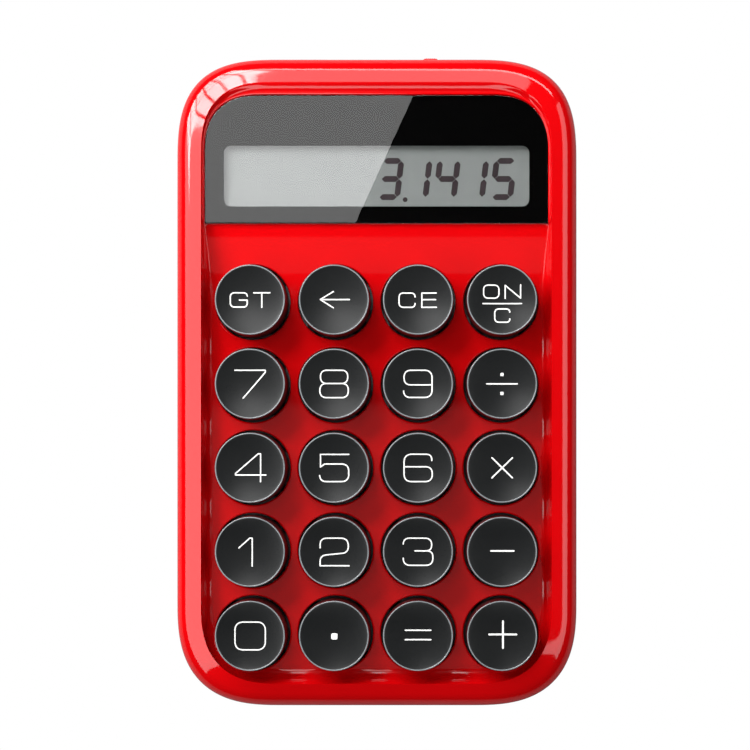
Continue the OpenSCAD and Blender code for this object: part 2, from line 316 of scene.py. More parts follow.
def madeOf(name, colour, settings, grain, height, shift, rough=None):
    # A material with its own fine grain (size and height in mm) and a faint mottling of its colour.
    material, tree, shader = newMaterial(name, colour, settings)
    place = addNode(tree, "ShaderNodeTexCoord").outputs["Object"]
    noise = addNode(tree, "ShaderNodeTexNoise", {"Scale": 1000 / grain, "Detail": 3.0, "Roughness": 0.55},
                    {"Vector": place})
    if height > 0:
        bump = addNode(tree, "ShaderNodeBump", {"Strength": 1.0, "Distance": height * 0.001},
                       {"Height": noise.outputs[0]})
        tree.links.new(bump.outputs[0], shader.inputs["Normal"])
    if rough:
        spread = addNode(tree, "ShaderNodeMapRange", {"From Min": 0.3, "From Max": 0.7, "To Min": rough[0],
                                                      "To Max": rough[1]}, {"Value": noise.outputs[0]})
        tree.links.new(spread.outputs[0], shader.inputs["Roughness"])
    cloud = addNode(tree, "ShaderNodeTexNoise", {"Scale": 1000 / (grain * 12), "Detail": 2.0},
                    {"Vector": place})
    ramp = addNode(tree, "ShaderNodeValToRGB", {}, {"Fac": cloud.outputs[0]})
    base = linear(colour)[:3]
    for element, position, sign in zip(ramp.color_ramp.elements, (0.3, 0.7), (-1, 1)):
        element.position = position
        element.color = tuple(min(1, c * (1 + sign * shift)) for c in base) + (1,)
    recolour(material, ramp.outputs[0])
    return material


def recolour(material, source):
    tree = material.node_tree
    tree.links.new(source, tree.nodes["Principled BSDF"].inputs["Base Color"])


def addBands(material, scale, dark, light):
    # Fine parallel layers across x, in place of the plain colour.
    tree = material.node_tree
    place = addNode(tree, "ShaderNodeTexCoord").outputs["Object"]
    wave = addNode(tree, "ShaderNodeTexWave", {"wave_type": "BANDS", "bands_direction": "X", "Scale": scale,
                                               "Distortion": 0.0}, {"Vector": place})
    inks = addNode(tree, "ShaderNodeMix", {"data_type": "RGBA", 6: linear(dark), 7: linear(light)},
                   {0: wave.outputs[1]})
    recolour(material, inks.outputs[2])


finish = {
    "red": "d00308", "redRough": 0.055,
    "key": "0b0d0e", "keyRough": 0.32,
    # lip: a lighter grey on the keycaps' lip, a painted highlight ring
    "lip": "7b8083",
    "ink": "f4f4f2",
    "print": "020202",
    "lcd": "5f6261",
    "segment": "2a2426",
}

# Red high-gloss ABS, polished mould: deep even colour, mirror-like highlights with a very faint waviness.
redAbs = madeOf("glossRedAbs", finish["red"], {"Roughness": finish["redRough"], "IOR": 1.54},
                1.2, 0.0006, 0.03, (finish["redRough"] - 0.02, finish["redRough"] + 0.03))

# Dark satin ABS, fine spark-eroded mould: soft grey sheen in the dish.
keyAbs = madeOf("satinBlackAbs", finish["key"], {"Roughness": finish["keyRough"], "IOR": 1.53},
                0.18, 0.0012, 0.06, (finish["keyRough"] - 0.05, finish["keyRough"] + 0.06))

# The same plastic at the lip, worn smooth by fingers; its lighter grey colour is a painted highlight ring
# round each key top.
lipHighlightAbs = madeOf("wornBlackAbsPaintedHighlight", finish["lip"], {"Roughness": 0.2, "IOR": 1.6},
                0.3, 0.0006, 0.08, (0.16, 0.26))

# White two-part pad-printing ink: slightly raised, satin.
whiteInk = madeOf("whitePadInk", finish["ink"], {"Roughness": 0.45, "IOR": 1.5}, 0.12, 0.002, 0.02)

# Clear cast acrylic, polished. Lamps pass it straight, so that what is under it is lit.
clearAcrylic, tree, shader = newMaterial("clearAcrylic", "ffffff",
                                         {"Roughness": 0.0, "IOR": 1.49, "Transmission Weight": 1.0})
through = addNode(tree, "ShaderNodeBsdfTransparent", {"Color": (0.94, 0.94, 0.94, 1)})
shadowRay = addNode(tree, "ShaderNodeLightPath").outputs["Is Shadow Ray"]
surface = addNode(tree, "ShaderNodeMixShader", {}, {
    0: shadowRay, 1: shader.outputs[0], 2: through.outputs[0]})
tree.links.new(surface.outputs[0], tree.nodes["Material Output"].inputs["Surface"])

# Black screen-printed enamel behind the acrylic: dense and even.
blackPrint = madeOf("blackScreenInk", finish["print"],
                    {"Roughness": 0.5, "IOR": 1.5, "Specular IOR Level": 0.0}, 0.3, 0.0, 0.05, (0.45, 0.6))

# Reflective twisted-nematic display glass: grey with a faint green cast and very fine mottling.
lcdGlass = madeOf("greyLcdGlass", finish["lcd"], {"Roughness": 0.5, "IOR": 1.5, "Specular IOR Level": 0.02},
                  0.25, 0.0, 0.02, (0.36, 0.46))

# Energised liquid crystal: near black with a purple cast.
lcdInk = madeOf("darkLiquidCrystal", finish["segment"], {"Roughness": 0.5, "Specular IOR Level": 0.0},
                0.25, 0.0, 0.05)

# White bevelled frame edge seen at the window.
frameWhite = madeOf("whiteMouldedAbs", "dcdddc", {"Roughness": 0.35, "IOR": 1.53}, 0.4, 0.001, 0.03)

# Music-wire steel, bright drawn.
springSteel = madeOf("drawnSpringSteel", "b9babb", {"Metallic": 1.0, "Roughness": 0.25},
                     0.08, 0.0006, 0.08, (0.2, 0.36))

# Zinc-plated screw steel with a slight yellow-blue cast.
screwSteel = madeOf("zincPlatedSteel", "a9acae", {"Metallic": 1.0, "Roughness": 0.34},
                    0.15, 0.0015, 0.12, (0.28, 0.46))

# Soft thermoplastic rubber, matt, with a fine moulded grain.
footRubber = madeOf("mattBlackRubber", "1b1b1c", {"Roughness": 0.82, "IOR": 1.5},
                    0.22, 0.012, 0.15, (0.75, 0.92))

# Nickel-plated can of a dry cell.
cellSteel = madeOf("nickelPlatedSteel", "c4c3bf", {"Metallic": 1.0, "Roughness": 0.22},
                   0.3, 0.0008, 0.05, (0.18, 0.3))

# Plain grey-blue shrink film of a dry cell, with a lighter band printed round its middle.
cellFilm = madeOf("shrinkFilm", "3b4654", {"Roughness": 0.3, "IOR": 1.5}, 0.9, 0.004, 0.05, (0.24, 0.38))
tree = cellFilm.node_tree
axes = addNode(tree, "ShaderNodeSeparateXYZ", {}, {0: addNode(tree, "ShaderNodeTexCoord").outputs["Object"]})
band = addNode(tree, "ShaderNodeMath", {"operation": "COMPARE", 1: 0.0, 2: 0.009}, {0: axes.outputs[0]})
inks = addNode(tree, "ShaderNodeMix", {"data_type": "RGBA", 6: linear("3b4654"), 7: linear("8d99a6")},
               {0: band.outputs[0]})
recolour(cellFilm, inks.outputs[2])

# Tin solder, satin.
solderTin = madeOf("tinSolder", "a7a9ab", {"Metallic": 1.0, "Roughness": 0.3}, 0.2, 0.003, 0.08, (0.24, 0.42))

# Silicone strip with carbon layers across it.
zebraRubber = madeOf("carbonSilicone", "8a8e92", {"Roughness": 0.6}, 0.1, 0.0, 0.03)
addBands(zebraRubber, 314.0, "16171a", "a3a7ab")

# Green solder mask over glass-epoxy, with the copper's tracks showing faintly.
boardGreen = madeOf("greenSolderMask", "0f4a2c", {"Roughness": 0.34, "IOR": 1.52},
                    0.5, 0.003, 0.08, (0.28, 0.42))
tree = boardGreen.node_tree
place = addNode(tree, "ShaderNodeTexCoord").outputs["Object"]
tracks = addNode(tree, "ShaderNodeTexBrick", {
    "Scale": 400.0, "Mortar Size": 0.06, "Color1": linear("0c4128"), "Color2": linear("0c4128"),
    "Mortar": linear("1c6a41")}, {"Vector": place})
recolour(boardGreen, tracks.outputs[0])

# Amber polyimide film with its conductors side by side.
cableFilm = madeOf("polyimideFilm", "b3671a", {"Roughness": 0.28, "IOR": 1.7}, 0.4, 0.002, 0.05)
addBands(cableFilm, 250.0, "a85c14", "c98a3d")

# Rolled steel sheet, satin.
plateSteel = madeOf("rolledSteel", "8e9092", {"Metallic": 1.0, "Roughness": 0.38},
                    0.25, 0.0015, 0.06, (0.3, 0.48))

# Glass-filled nylon of the switch housings, matt dark grey.
housingPlastic = madeOf("glassFilledNylon", "26272a", {"Roughness": 0.55, "IOR": 1.53},
                        0.14, 0.004, 0.1, (0.48, 0.66))

# Black epoxy over the chip, lumpy and glossy.
potResin = madeOf("blackEpoxy", "0e0e0f", {"Roughness": 0.25, "IOR": 1.55}, 2.4, 0.03, 0.1, (0.18, 0.35))

# Blue acetal of the switch stems, waxy.
stemPlastic = madeOf("blueAcetal", "2a6fb5", {"Roughness": 0.42, "IOR": 1.48, "Subsurface Weight": 0.05},
                     0.3, 0.001, 0.04, (0.36, 0.48))
print("materials ready")


# Upper shell.

rim = {
    "outer": {"half": 50.7, "front": -81.96, "rear": 82.0, "reach": 27.0, "power": 3.0,
              "frontReach": 26.5, "frontPower": 2.75},
    "crease": {"half": 44.05, "front": -75.9, "rear": 75.3, "reach": 18.5, "power": 2.7,
               "frontReach": 20.0, "frontPower": 2.6},
    "foot": {"half": 41.6, "front": -72.4, "rear": 72.7, "reach": 15.0, "power": 2.55,
             "frontReach": 18.5, "frontPower": 2.6},
    "height": 5.58,         # crest of the rim over the deck, at the crease
    "shoulder": -0.5,       # where the outer wall starts to round over
    "domeWidth": 0.62,      # share of the rim's width that the rounded outer side takes
    "domePower": 2.4,
    "bevelRise": 1.6,       # how much of the height the flat bevel up to the crease adds
    "frontBevelRise": 3.1,
    "parting": -7.0,
    "draft": 0.6,
    "displayDrop": 1.15,    # how far the rim falls to the display's pocket
    "pocketGap": 0.32,
    "pocketFront": 0.1,     # the deck's edge runs in under the front of the lens
    "toDisplay": (40.1, 41.1),  # where the rim's inside changes from the deck to the display
    "cavity": 2.6,          # wall of the rim, over the inside of the case
}
# Under the lens: a window in the pocket's floor, and the room for the display's frame below it.
seat = {"floor": 2.98, "window": (-39.9, 39.9, 43.3, 61.2), "room": (-43.0, 43.0, 41.7, 70.0), "roomTop": 1.8}
recess = {"middle": 1.5, "half": 16.5, "height": 3.0, "z": -1.5, "depth": 0.5,
          "slot": (8.3, 14.9, -2.5, -0.5), "wallInside": 79.4}


def mixShape(a, b, t):
    return {k: a[k] + (b[k] - a[k]) * t for k in a}


def insideOf(points, shape):
    # Below 0 inside the outline, 0 on it.
    x, y = np.abs(points[:, 0]), points[:, 1]
    rear = y > 0
    reach = np.where(rear, shape["reach"], shape["frontReach"])
    power = np.where(rear, shape["power"], shape["frontPower"])
    end = np.where(rear, shape["rear"], -np.asarray(shape["front"]))
    u = np.maximum(0, x - (shape["half"] - reach)) / reach
    v = np.maximum(0, np.abs(y) - (end - reach)) / reach
    return (u ** power + v ** power) ** (1 / power) - 1


def shareBetween(points, a, b):
    # 0 on outline a, 1 on the inner outline b.
    low, high = np.zeros(len(points)), np.ones(len(points)) * 1.02
    for _ in range(26):
        middle = (low + high) / 2
        within = insideOf(points, mixShape(a, b, middle)) < 0
        low, high = np.where(within, middle, low), np.where(within, high, middle)
    return (low + high) / 2


def smoothStep(x, start, end):
    t = np.clip((x - start) / (end - start), 0, 1)
    return t * t * (3 - 2 * t)


def rimHeight(share, y):
    # From the shoulder up to the crease. The front side is rounder, the others have a flat bevel.
    share = np.clip(share, 0, 1)
    bevel = rim["bevelRise"] + (rim["frontBevelRise"] - rim["bevelRise"]) * smoothStep(-np.asarray(y), 60, 78)
    power = rim["domePower"]
    rounding = (1 - np.clip(1 - share / rim["domeWidth"], 0, 1) ** power) ** (1 / power)
    return rim["shoulder"] + (rim["height"] - rim["shoulder"] - bevel) * rounding + bevel * share


def rampHeight(y):
    t = np.clip((y - deck["rampStart"]) / (deck["rampEnd"] - deck["rampStart"]), 0, 1.2)
    return deck["rampRise"] * t ** 2


def wallHeight(points):
    # From the crease down to the deck, or down to the display's pocket.
    y = points[:, 1]
    toDisplay = smoothStep(y, *rim["toDisplay"])
    foot = dict(rim["foot"])
    foot["half"] = rim["foot"]["half"] + (lens["half"] + rim["pocketGap"] - rim["foot"]["half"]) * toDisplay
    t = np.clip(shareBetween(points, rim["crease"], foot), 0, 1)
    down = rim["height"] * (1 - np.sqrt(np.maximum(0, 1 - (1 - t) ** 2)))
    level = rampHeight(y)
    blend = np.clip(level, 0.001, 0.4)
    toDeck = np.maximum(down, level) + np.maximum(0, blend - np.abs(down - level)) ** 2 / (4 * blend)
    toPocket = rim["height"] - rim["displayDrop"] * (0.12 * t + 0.88 * smoothStep(t, -0.1, 1.0))
    return toDeck * (1 - toDisplay) + toPocket * toDisplay


def outline(shape):
    return denseRear(superOutline(shape, 40, 1.6), shape)


def buildUpperShell():
    parts, wallRings = [], []
    # Outer wall, bottom up, with the shallow recess in its rear and the knob's slot through it.
    low, high = recess["slot"][2:]
    stops = [low, high, rim["shoulder"]]
    heights = np.unique(np.append(np.arange(rim["parting"], rim["shoulder"], 0.25), stops))
    for z in heights:
        ring = outline(insetShape(rim["outer"], rim["draft"] * (max(0, rim["shoulder"] - z) / 6.5) ** 2))
        wallRings.append(pressRecess(atHeight(ring, z)))
    # Rounded outer side and flat bevel, up to the crease.
    w, power = rim["domeWidth"], rim["domePower"]
    for angle in np.linspace(3, 90, 26):
        share = w * (1 - math.cos(math.radians(angle)) ** (2 / power))
        ring = outline(mixShape(rim["outer"], rim["crease"], share))
        wallRings.append(pressRecess(atHeight(ring, rimHeight(share, ring[:, 1]))))
    for share in np.linspace(w, 1, 5)[1:]:
        ring = outline(mixShape(rim["outer"], rim["crease"], share))
        wallRings.append(atHeight(ring, rimHeight(share, ring[:, 1])))
    points, faces = stack(wallRings), ringFaces(wallRings)
    x0, x1 = recess["slot"][:2]
    x, y, z = points[np.array(faces)].mean(axis=1).T
    inSlot = (y > 70) & (x > x0) & (x < x1) & (z > low) & (z < high)
    parts.append((points, [f for f, cut in zip(faces, inSlot) if not cut]))
    cutFaces = [f for f, cut in zip(faces, inSlot) if cut]
    back = points.copy()
    back[:, 1] = recess["wallInside"]
    walls = [f[::-1] for f in sideFaces(cutFaces, len(points))]
    parts.append((np.vstack([points, back]), walls + [tuple(i + len(points) for i in f) for f in cutFaces]))

    # Inside of the rim, deck, ramp and pocket edge, as one sheet with the wells cut out.
    creaseLoop = outline(rim["crease"])
    pocket = displayLoop(-rim["pocketGap"], rim["pocketFront"])
    wellMouth = deck["well"] + deck["wellEdge"]
    wells = [circleLoop(wellMouth, 96, keyCentre(r, c)) for r in range(5) for c in range(4)]
    inner = []
    for share in (0.02, 0.05, 0.1, 0.16, 0.23, 0.31, 0.4, 0.5, 0.6, 0.7, 0.8, 0.9, 1.0):
        ring = outline(mixShape(rim["crease"], rim["foot"], share))
        inner.append(ring[ring[:, 1] < rim["toDisplay"][0] - 0.8])
    toPocket = {**rim["foot"], "half": lens["half"] + rim["pocketGap"]}
    for share in (0.25, 0.5, 0.75):
        ring = superOutline(mixShape(rim["crease"], toPocket, share), 60, 1.0)
        inner.append(ring[ring[:, 1] > rim["toDisplay"][0] - 0.2])
    across = np.arange(-41, 41.1, 2.0)
    rampRows = [atHeight(across, y) for y in np.arange(deck["rampStart"] - 1, deck["rampEnd"] - 0.1, 0.55)]
    extra = np.vstack(inner + rampRows)
    keep = ~insideLoop(extra, pocket)
    for row in range(5):
        for column in range(4):
            centre = np.array(keyCentre(row, column))
            keep &= np.hypot(*(extra - centre).T) > wellMouth + 0.15
    keep &= shareBetween(extra, rim["outer"], rim["crease"]) > 1.0005
    keep &= np.array([np.min(np.hypot(*(pocket - p).T)) for p in extra]) > 0.12
    flat, triangles = fillRegion([creaseLoop], [pocket] + wells, extra[keep])
    z = np.where(np.abs(insideOf(flat, rim["crease"])) < 1e-5, rim["height"], wallHeight(flat))
    parts.append((np.column_stack([flat, z]), triangles))

    # Well mouths and walls.
    for well in wells:
        middle = well.mean(axis=0)
        out = (well - middle) / wellMouth
        top = wallHeight(well)
        rings = []
        for angle in np.linspace(0, 90, 7):
            a = math.radians(angle)
            radius = wellMouth - deck["wellEdge"] * math.sin(a)
            rings.append(np.column_stack([middle + out * radius, top - deck["wellEdge"] * (1 - math.cos(a))]))
        rings.append(np.column_stack([middle + out * deck["well"], np.full(len(well), deck["floor"])]))
        parts.append((stack(rings), ringFaces(rings)))

    # Pocket that the lens lies in, and the window in its floor.
    rings = [np.column_stack([pocket, wallHeight(pocket)]), atHeight(pocket, seat["floor"])]
    parts.append((stack(rings), ringFaces(rings)))
    window, room = rectangle(*seat["window"]), rectangle(*seat["room"])
    flat, triangles = fillRegion([pocket], [window])
    parts.append((atHeight(flat, seat["floor"]), triangles))
    rings = [atHeight(window, seat["floor"]), atHeight(window, seat["roomTop"])]
    parts.append((stack(rings), ringFaces(rings)))
    flat, triangles = fillRegion([room], [window])
    parts.append((atHeight(flat, seat["roomTop"]), triangles))
    rings = [atHeight(room, seat["roomTop"]), atHeight(room, deck["floor"])]
    parts.append((stack(rings), ringFaces(rings)))

    # Underside of the deck, cavity wall and the edge that meets the lower shell.
    cavity = superOutline(insetShape(rim["outer"], rim["cavity"]), 24, 3.0)
    wellFeet = [circleLoop(deck["well"], 96, keyCentre(r, c)) for r in range(5) for c in range(4)]
    flat, triangles = fillRegion([cavity], [room] + wellFeet)
    parts.append((atHeight(flat, deck["floor"]), triangles))
    rings = [atHeight(cavity, deck["floor"]), atHeight(cavity, rim["parting"])]
    parts.append((stack(rings), ringFaces(rings)))
    flat, triangles = fillRegion([wallRings[0][:, :2]], [cavity])
    parts.append((atHeight(flat, rim["parting"]), triangles))
    patch = []
    for i, (_, partFaces) in enumerate(parts):
        patch += [1 if i == 2 else 0] * len(partFaces)
    points, faces = joinParts(parts)
    return points, faces, patch


def slopes(height, flat, step):
    # Slope of a height field along x and y.
    return np.column_stack([(height(flat + d) - height(flat - d)) / (2 * step)
                            for d in ((step, 0), (0, step))])


def sheetNormals(obj):
    # Exact normals on the deck and the inside of the rim, so that long triangles don't show in the gloss.
    mesh = obj.data
    patch = np.array([item.value for item in mesh.attributes["patch"].data])
    onSheet = np.repeat(patch == 1, [face.loop_total for face in mesh.polygons])
    normals = np.array([tuple(corner.vector) for corner in mesh.corner_normals], np.float32)
    loopVerts = np.array([loop.vertex_index for loop in mesh.loops])
    co = np.array([tuple(vertex.co) for vertex in mesh.vertices])
    flat = ((co - deckZero) @ deckTurn * 1000)[:, :2].copy()
    step = 0.02
    # At the crease the slope is taken a little way inside it.
    onEdge = insideOf(flat, rim["crease"]) > -0.002
    out = slopes(lambda p: insideOf(p, rim["crease"]), flat, step)
    out /= np.maximum(np.hypot(out[:, 0], out[:, 1]), 1e-9)[:, None]
    flat[onEdge] -= 0.05 * out[onEdge]
    exact = atHeight(-slopes(wallHeight, flat, step), 1.0)
    exact = exact / np.linalg.norm(exact, axis=1)[:, None] @ deckTurn.T
    normals[onSheet] = exact[loopVerts[onSheet]]
    mesh.normals_split_custom_set(normals.tolist())
    mesh.attributes.remove(mesh.attributes["patch"])


def insetShape(shape, inset):
    moved = {k: shape[k] - inset for k in ("half", "rear", "reach", "frontReach")}
    return {**shape, **moved, "front": shape["front"] + inset}


def denseRear(outline, shape):
    # Adds points on the straight rear edge, where the switch recess and its slot are.
    top = outline[:, 1].max()
    flatRear = np.where(np.abs(outline[:, 1] - top) < 1e-6)[0]
    first, last = flatRear.min(), flatRear.max()
    straight = shape["half"] - shape["reach"]
    line = np.linspace(straight, -straight, 148)
    for x in recess["slot"][:2]:
        line[np.argmin(np.abs(line - x))] = x
    return np.vstack([outline[:first], atHeight(line, top), outline[last + 1:]])


def pressRecess(ring):
    ring = ring.copy()
    dx = np.maximum(0, np.abs(ring[:, 0] - recess["middle"]) - (recess["half"] - recess["height"]))
    d = np.hypot(dx, ring[:, 2] - recess["z"])
    pressed = recess["depth"] * (1 - smoothStep(d, recess["height"] - 0.35, recess["height"]))
    ring[:, 1] -= np.where(ring[:, 1] > 60, pressed, 0)
    return ring


def displayLoop(inset, frontInset=None):
    # The lens's outline moved inwards: square at the front, with superellipse corners at the rear.
    half, rear, reach = lens["half"] - inset, lens["rear"] - inset, lens["reach"] - inset
    front = lens["front"] + (inset if frontInset is None else frontInset)
    corner = []
    for angle in np.linspace(0, math.pi / 2, 49):
        u, v = abs(math.cos(angle)) ** (2 / lens["power"]), math.sin(angle) ** (2 / lens["power"])
        corner.append((half - reach + reach * u, rear - reach + reach * v))
    right = [(half, front)] + straightLine((half, front), corner[0], 20) + corner
    left = [(-x, y) for x, y in right[::-1]]
    rearLine, frontLine = straightLine(right[-1], left[0], 40), straightLine(left[-1], right[0], 60)
    return np.array(right + rearLine + left + frontLine)


points, faces, patch = buildUpperShell()
upperShell = makePiece("upperShell", points, faces, redAbs, sharp=20, patch=patch)
sheetNormals(upperShell)
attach(upperShell, "case")
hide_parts("upper_shell")
print("upper shell", len(faces))


# Display.

display = {
    "window": (-38.5, 38.5, 44.3, 59.6, 1.8),       # left, right, front, rear, corner radius
    "frameOuter": (-39.8, 39.8, 43.4, 61.1, 2.2),
    "frameInner": (-38.75, 38.75, 44.05, 59.85, 1.6),
    "frameTop": (2.9, 2.75), "frameFoot": 1.72,
    "print": (3.02, 3.06), "printInset": 0.04,
    "lcdTop": 1.7, "film": (0.01, 0.05),            # the digits' film over the glass
    "digitRight": 34.85, "digitPitch": 7.15, "digitWidth": 4.5, "digitLow": 46.1, "digitHigh": 56.75,
    "slant": 0.12, "stroke": 1.5, "gap": 0.06,
    "point": 0.62, "pointShift": (1.55, 5.0, 0.1),
}


def roundedBox(x0, x1, y0, y1, radius, steps=8):
    loop = []
    right, left, rear, front = x1 - radius, x0 + radius, y1 - radius, y0 + radius
    corners = ((right, rear), (left, rear), (left, front), (right, front))
    for quarter, (cx, cy) in enumerate(corners):
        for k in range(steps + 1):
            a = math.radians(90 * (quarter + k / steps))
            loop.append((cx + radius * math.cos(a), cy + radius * math.sin(a)))
    return np.array(loop)


edge = lens["edge"]
rings = [atHeight(displayLoop(0), lens["bottom"])]
for angle in np.linspace(0, 90, 5):
    a = math.radians(angle)
    rings.append(atHeight(displayLoop(edge * (1 - math.cos(a))), lens["top"] - edge * (1 - math.sin(a))))
rings.append(atHeight(displayLoop(edge + 0.04), lens["top"]))
rings.insert(0, atHeight(displayLoop(0.04), lens["bottom"]))
points = stack(rings)
faces = ringFaces(rings)
for level, loop in ((0, rings[0]), (1, rings[-1])):
    flat, triangles = fillRegion([loop[:, :2]])
    faces += [tuple(i + len(points) for i in t) for t in triangles]
    points = np.vstack([points, atHeight(flat, loop[0, 2])])
lensPiece = makePiece("displayLens", points, faces, clearAcrylic, sharp=50)
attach(lensPiece, "case")
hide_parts("display_lens")

printLoop, windowLoop = displayLoop(display["printInset"]), roundedBox(*display["window"])
points, faces = platePoints([printLoop], [windowLoop], *display["print"])
printPiece = makePiece("lensPrint", points, faces, blackPrint)
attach(printPiece, "case")

# Bevelled white frame just under the print, seen as a light line round the window.
outerFrame, innerFrame = roundedBox(*display["frameOuter"]), roundedBox(*display["frameInner"])
rings = [atHeight(outerFrame, display["frameTop"][0]), atHeight(innerFrame, display["frameTop"][1]),
         atHeight(innerFrame, display["frameFoot"]), atHeight(outerFrame, display["frameFoot"])]
framePiece = makePiece("windowFrame", stack(rings), wrapFaces(len(outerFrame), 4), frameWhite)
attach(framePiece, "case")


def segmentLoop(a, b, width):
    # A bar with pointed ends from a to b.
    a, b = np.array(a), np.array(b)
    along = (b - a) / np.hypot(*(b - a))
    across = np.array([-along[1], along[0]]) * width / 2
    tip = along * width / 2
    return np.array([a, a + tip - across, b - tip - across, b, b - tip + across, a + tip + across])


segmentsOf = {"1": "bc", "3": "abgcd", "4": "fgbc", "5": "afgcd"}


def lcdNumber(shown):
    parts = []
    d = display
    low, high = d["digitLow"] + d["stroke"] / 2, d["digitHigh"] - d["stroke"] / 2
    middle = (low + high) / 2
    film = [d["lcdTop"] + z for z in d["film"]]
    place = len(shown.replace(".", "")) - 1
    for character in shown:
        if character == ".":
            right, back, up = d["pointShift"]
            x = d["digitRight"] - d["digitPitch"] * (place + 1) + right - d["slant"] * back
            parts.append(platePoints([circleLoop(d["point"], 16, (x, d["digitLow"] + up))], [], *film))
            continue
        right = d["digitRight"] - d["digitPitch"] * place
        left = right - d["digitWidth"]
        ends = {"a": ((left, high), (right, high)), "b": ((right, high), (right, middle)),
                "c": ((right, middle), (right, low)), "d": ((left, low), (right, low)),
                "e": ((left, middle), (left, low)), "f": ((left, high), (left, middle)),
                "g": ((left, middle), (right, middle))}
        for letter in segmentsOf[character]:
            a, b = np.array(ends[letter])
            along = (b - a) / np.hypot(*(b - a))
            loop = segmentLoop(a + along * d["gap"], b - along * d["gap"], d["stroke"])
            loop[:, 0] += d["slant"] * (loop[:, 1] - high)
            parts.append(platePoints([loop], [], *film))
        place -= 1
    return joinParts(parts)


points, faces = lcdNumber("3.1415")
digits = makePiece("lcdDigits", points, faces, lcdInk)
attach(digits, "case")
print("display ready")


# Keys.

key = {"top": 8.0, "dish": 1.05, "radius": 8.75, "skirt": 9.0, "lip": 0.17, "foot": -0.6, "ceiling": 5.4,
       "hollow": 7.7, "post": 2.75, "postFoot": 1.6, "crossLong": 2.08, "crossShort": 0.67,
       "stroke": 0.31, "ink": 0.03, "inkRoot": 0.04}
dishEdge = key["radius"] - 2 * key["lip"]
dishLow = key["top"] - key["dish"]
dishCurve = (dishEdge ** 2 + (key["dish"] - 0.1) ** 2) / (2 * (key["dish"] - 0.1))


def dishHeight(r):
    return dishLow + dishCurve - np.sqrt(dishCurve ** 2 - np.minimum(r, dishEdge) ** 2)


def keyProfile():
    # From the middle of the hollow's ceiling, out over the skirt and the lip, and into the dish.
    k = key
    profile = [(0, k["ceiling"]), (k["hollow"] - 0.5, k["ceiling"]), (k["hollow"], k["ceiling"] - 0.5),
               (k["hollow"], k["foot"] + 0.2), (k["hollow"] + 0.2, k["foot"]), (k["skirt"] - 0.25, k["foot"]),
               (k["skirt"] - 0.07, k["foot"] + 0.08), (k["skirt"], k["foot"] + 0.25)]
    foot, top = k["foot"] + 0.25, k["top"] - k["lip"]
    profile += [(k["skirt"] + (k["radius"] - k["skirt"]) * t, foot + (top - foot) * t)
                for t in (0.3, 0.6, 0.9)]
    for angle in range(0, 151, 15):
        a = math.radians(angle)
        profile.append((k["radius"] - k["lip"] + k["lip"] * math.cos(a), top + k["lip"] * math.sin(a)))
    profile += [(r, float(dishHeight(r))) for r in np.linspace(dishEdge - 0.1, 0, 14)]
    return profile


def postMesh(centre):
    k = key
    l, s = k["crossLong"], k["crossShort"]
    cross = np.array([(l, -s), (l, s), (s, s), (s, l), (-s, l), (-s, s),
                      (-l, s), (-l, -s), (-s, -s), (-s, -l), (s, -l), (s, -s)])
    outer = circleLoop(k["post"], 40, centre)
    return platePoints([outer], [cross + centre], k["postFoot"], k["ceiling"] + 0.05)


def roundPath(corners, closed=False):
    # A line of (x, y) or (x, y, corner radius), with its corners rounded.
    count = len(corners)
    path = []
    for i, corner in enumerate(corners):
        p = np.array(corner[:2], float)
        radius = corner[2] if len(corner) > 2 else 0
        if radius == 0 or (not closed and i in (0, count - 1)):
            path.append(p)
            continue
        before, after = np.array(corners[i - 1][:2], float), np.array(corners[(i + 1) % count][:2], float)
        a, b = before - p, after - p
        a, b = a / np.hypot(*a), b / np.hypot(*b)
        angle = math.acos(max(-1, min(1, float(a @ b))))
        cut = radius / math.tan(angle / 2)
        start, end = p + a * cut, p + b * cut
        bend = p * 0.86 + (start + end) / 2 * 0.14  # a squarish corner, tighter than an arc
        for t in np.linspace(0, 1, 9):
            path.append((1 - t) ** 2 * start + 2 * t * (1 - t) * bend + t ** 2 * end)
    if closed:
        path.append(path[0])
    return finerPath(path, 0.6)


def finerPath(path, step):
    fine = [path[0]]
    for a, b in zip(path, path[1:]):
        n = max(1, math.ceil(np.hypot(*(b - a)) / step))
        fine += [a + (b - a) * k / n for k in range(1, n + 1)]
    return [p for i, p in enumerate(fine) if i == 0 or np.hypot(*(p - fine[i - 1])) > 0.01]


def strokeFaces(path, width):
    # Overlapping pieces of a line with round ends: boxes along it and discs at its points.
    shapes = []
    for a, b in zip(path, path[1:]):
        along = (b - a) / np.hypot(*(b - a))
        across = np.array([-along[1], along[0]]) * width / 2
        shapes.append(np.array([a - across, b - across, b + across, a + across]))
    for i, p in enumerate(path):
        if 0 < i < len(path) - 1:
            before, after = path[i] - path[i - 1], path[i + 1] - path[i]
            if abs(before[0] * after[1] - before[1] * after[0]) < 1e-4:
                continue
        shapes.append(circleLoop(width / 2, 12, p))
    return shapes


def inkMesh(strokes, width):
    # One raised skin of ink over the dish, from every stroke's outline together.
    shapes = [s for path in strokes for s in strokeFaces(path, width)]
    points = [tuple(p) for s in shapes for p in s]
    edges, start = [], 0
    for s in shapes:
        edges += [(start + k, start + (k + 1) % len(s)) for k in range(len(s))]
        start += len(s)
    found = delaunay_2d_cdt([Vector(p) for p in points], edges, [], 0, 1e-4)
    flat = np.array([tuple(v) for v in found[0]])
    triangles = np.array([f for f in found[2] if len(f) == 3])
    middle = flat[triangles].mean(axis=1)
    keep = np.zeros(len(triangles), bool)
    for s in shapes:
        keep |= insideLoop(middle, s)
    triangles = [tuple(int(i) for i in t) for t in triangles[keep]]
    height = dishHeight(np.hypot(flat[:, 0], flat[:, 1]))
    points = np.vstack([atHeight(flat, height - key["inkRoot"]), atHeight(flat, height + key["ink"])])
    count = len(flat)
    faces = [t[::-1] for t in triangles] + [tuple(i + count for i in t) for t in triangles]
    return points, faces + sideFaces(triangles, count)


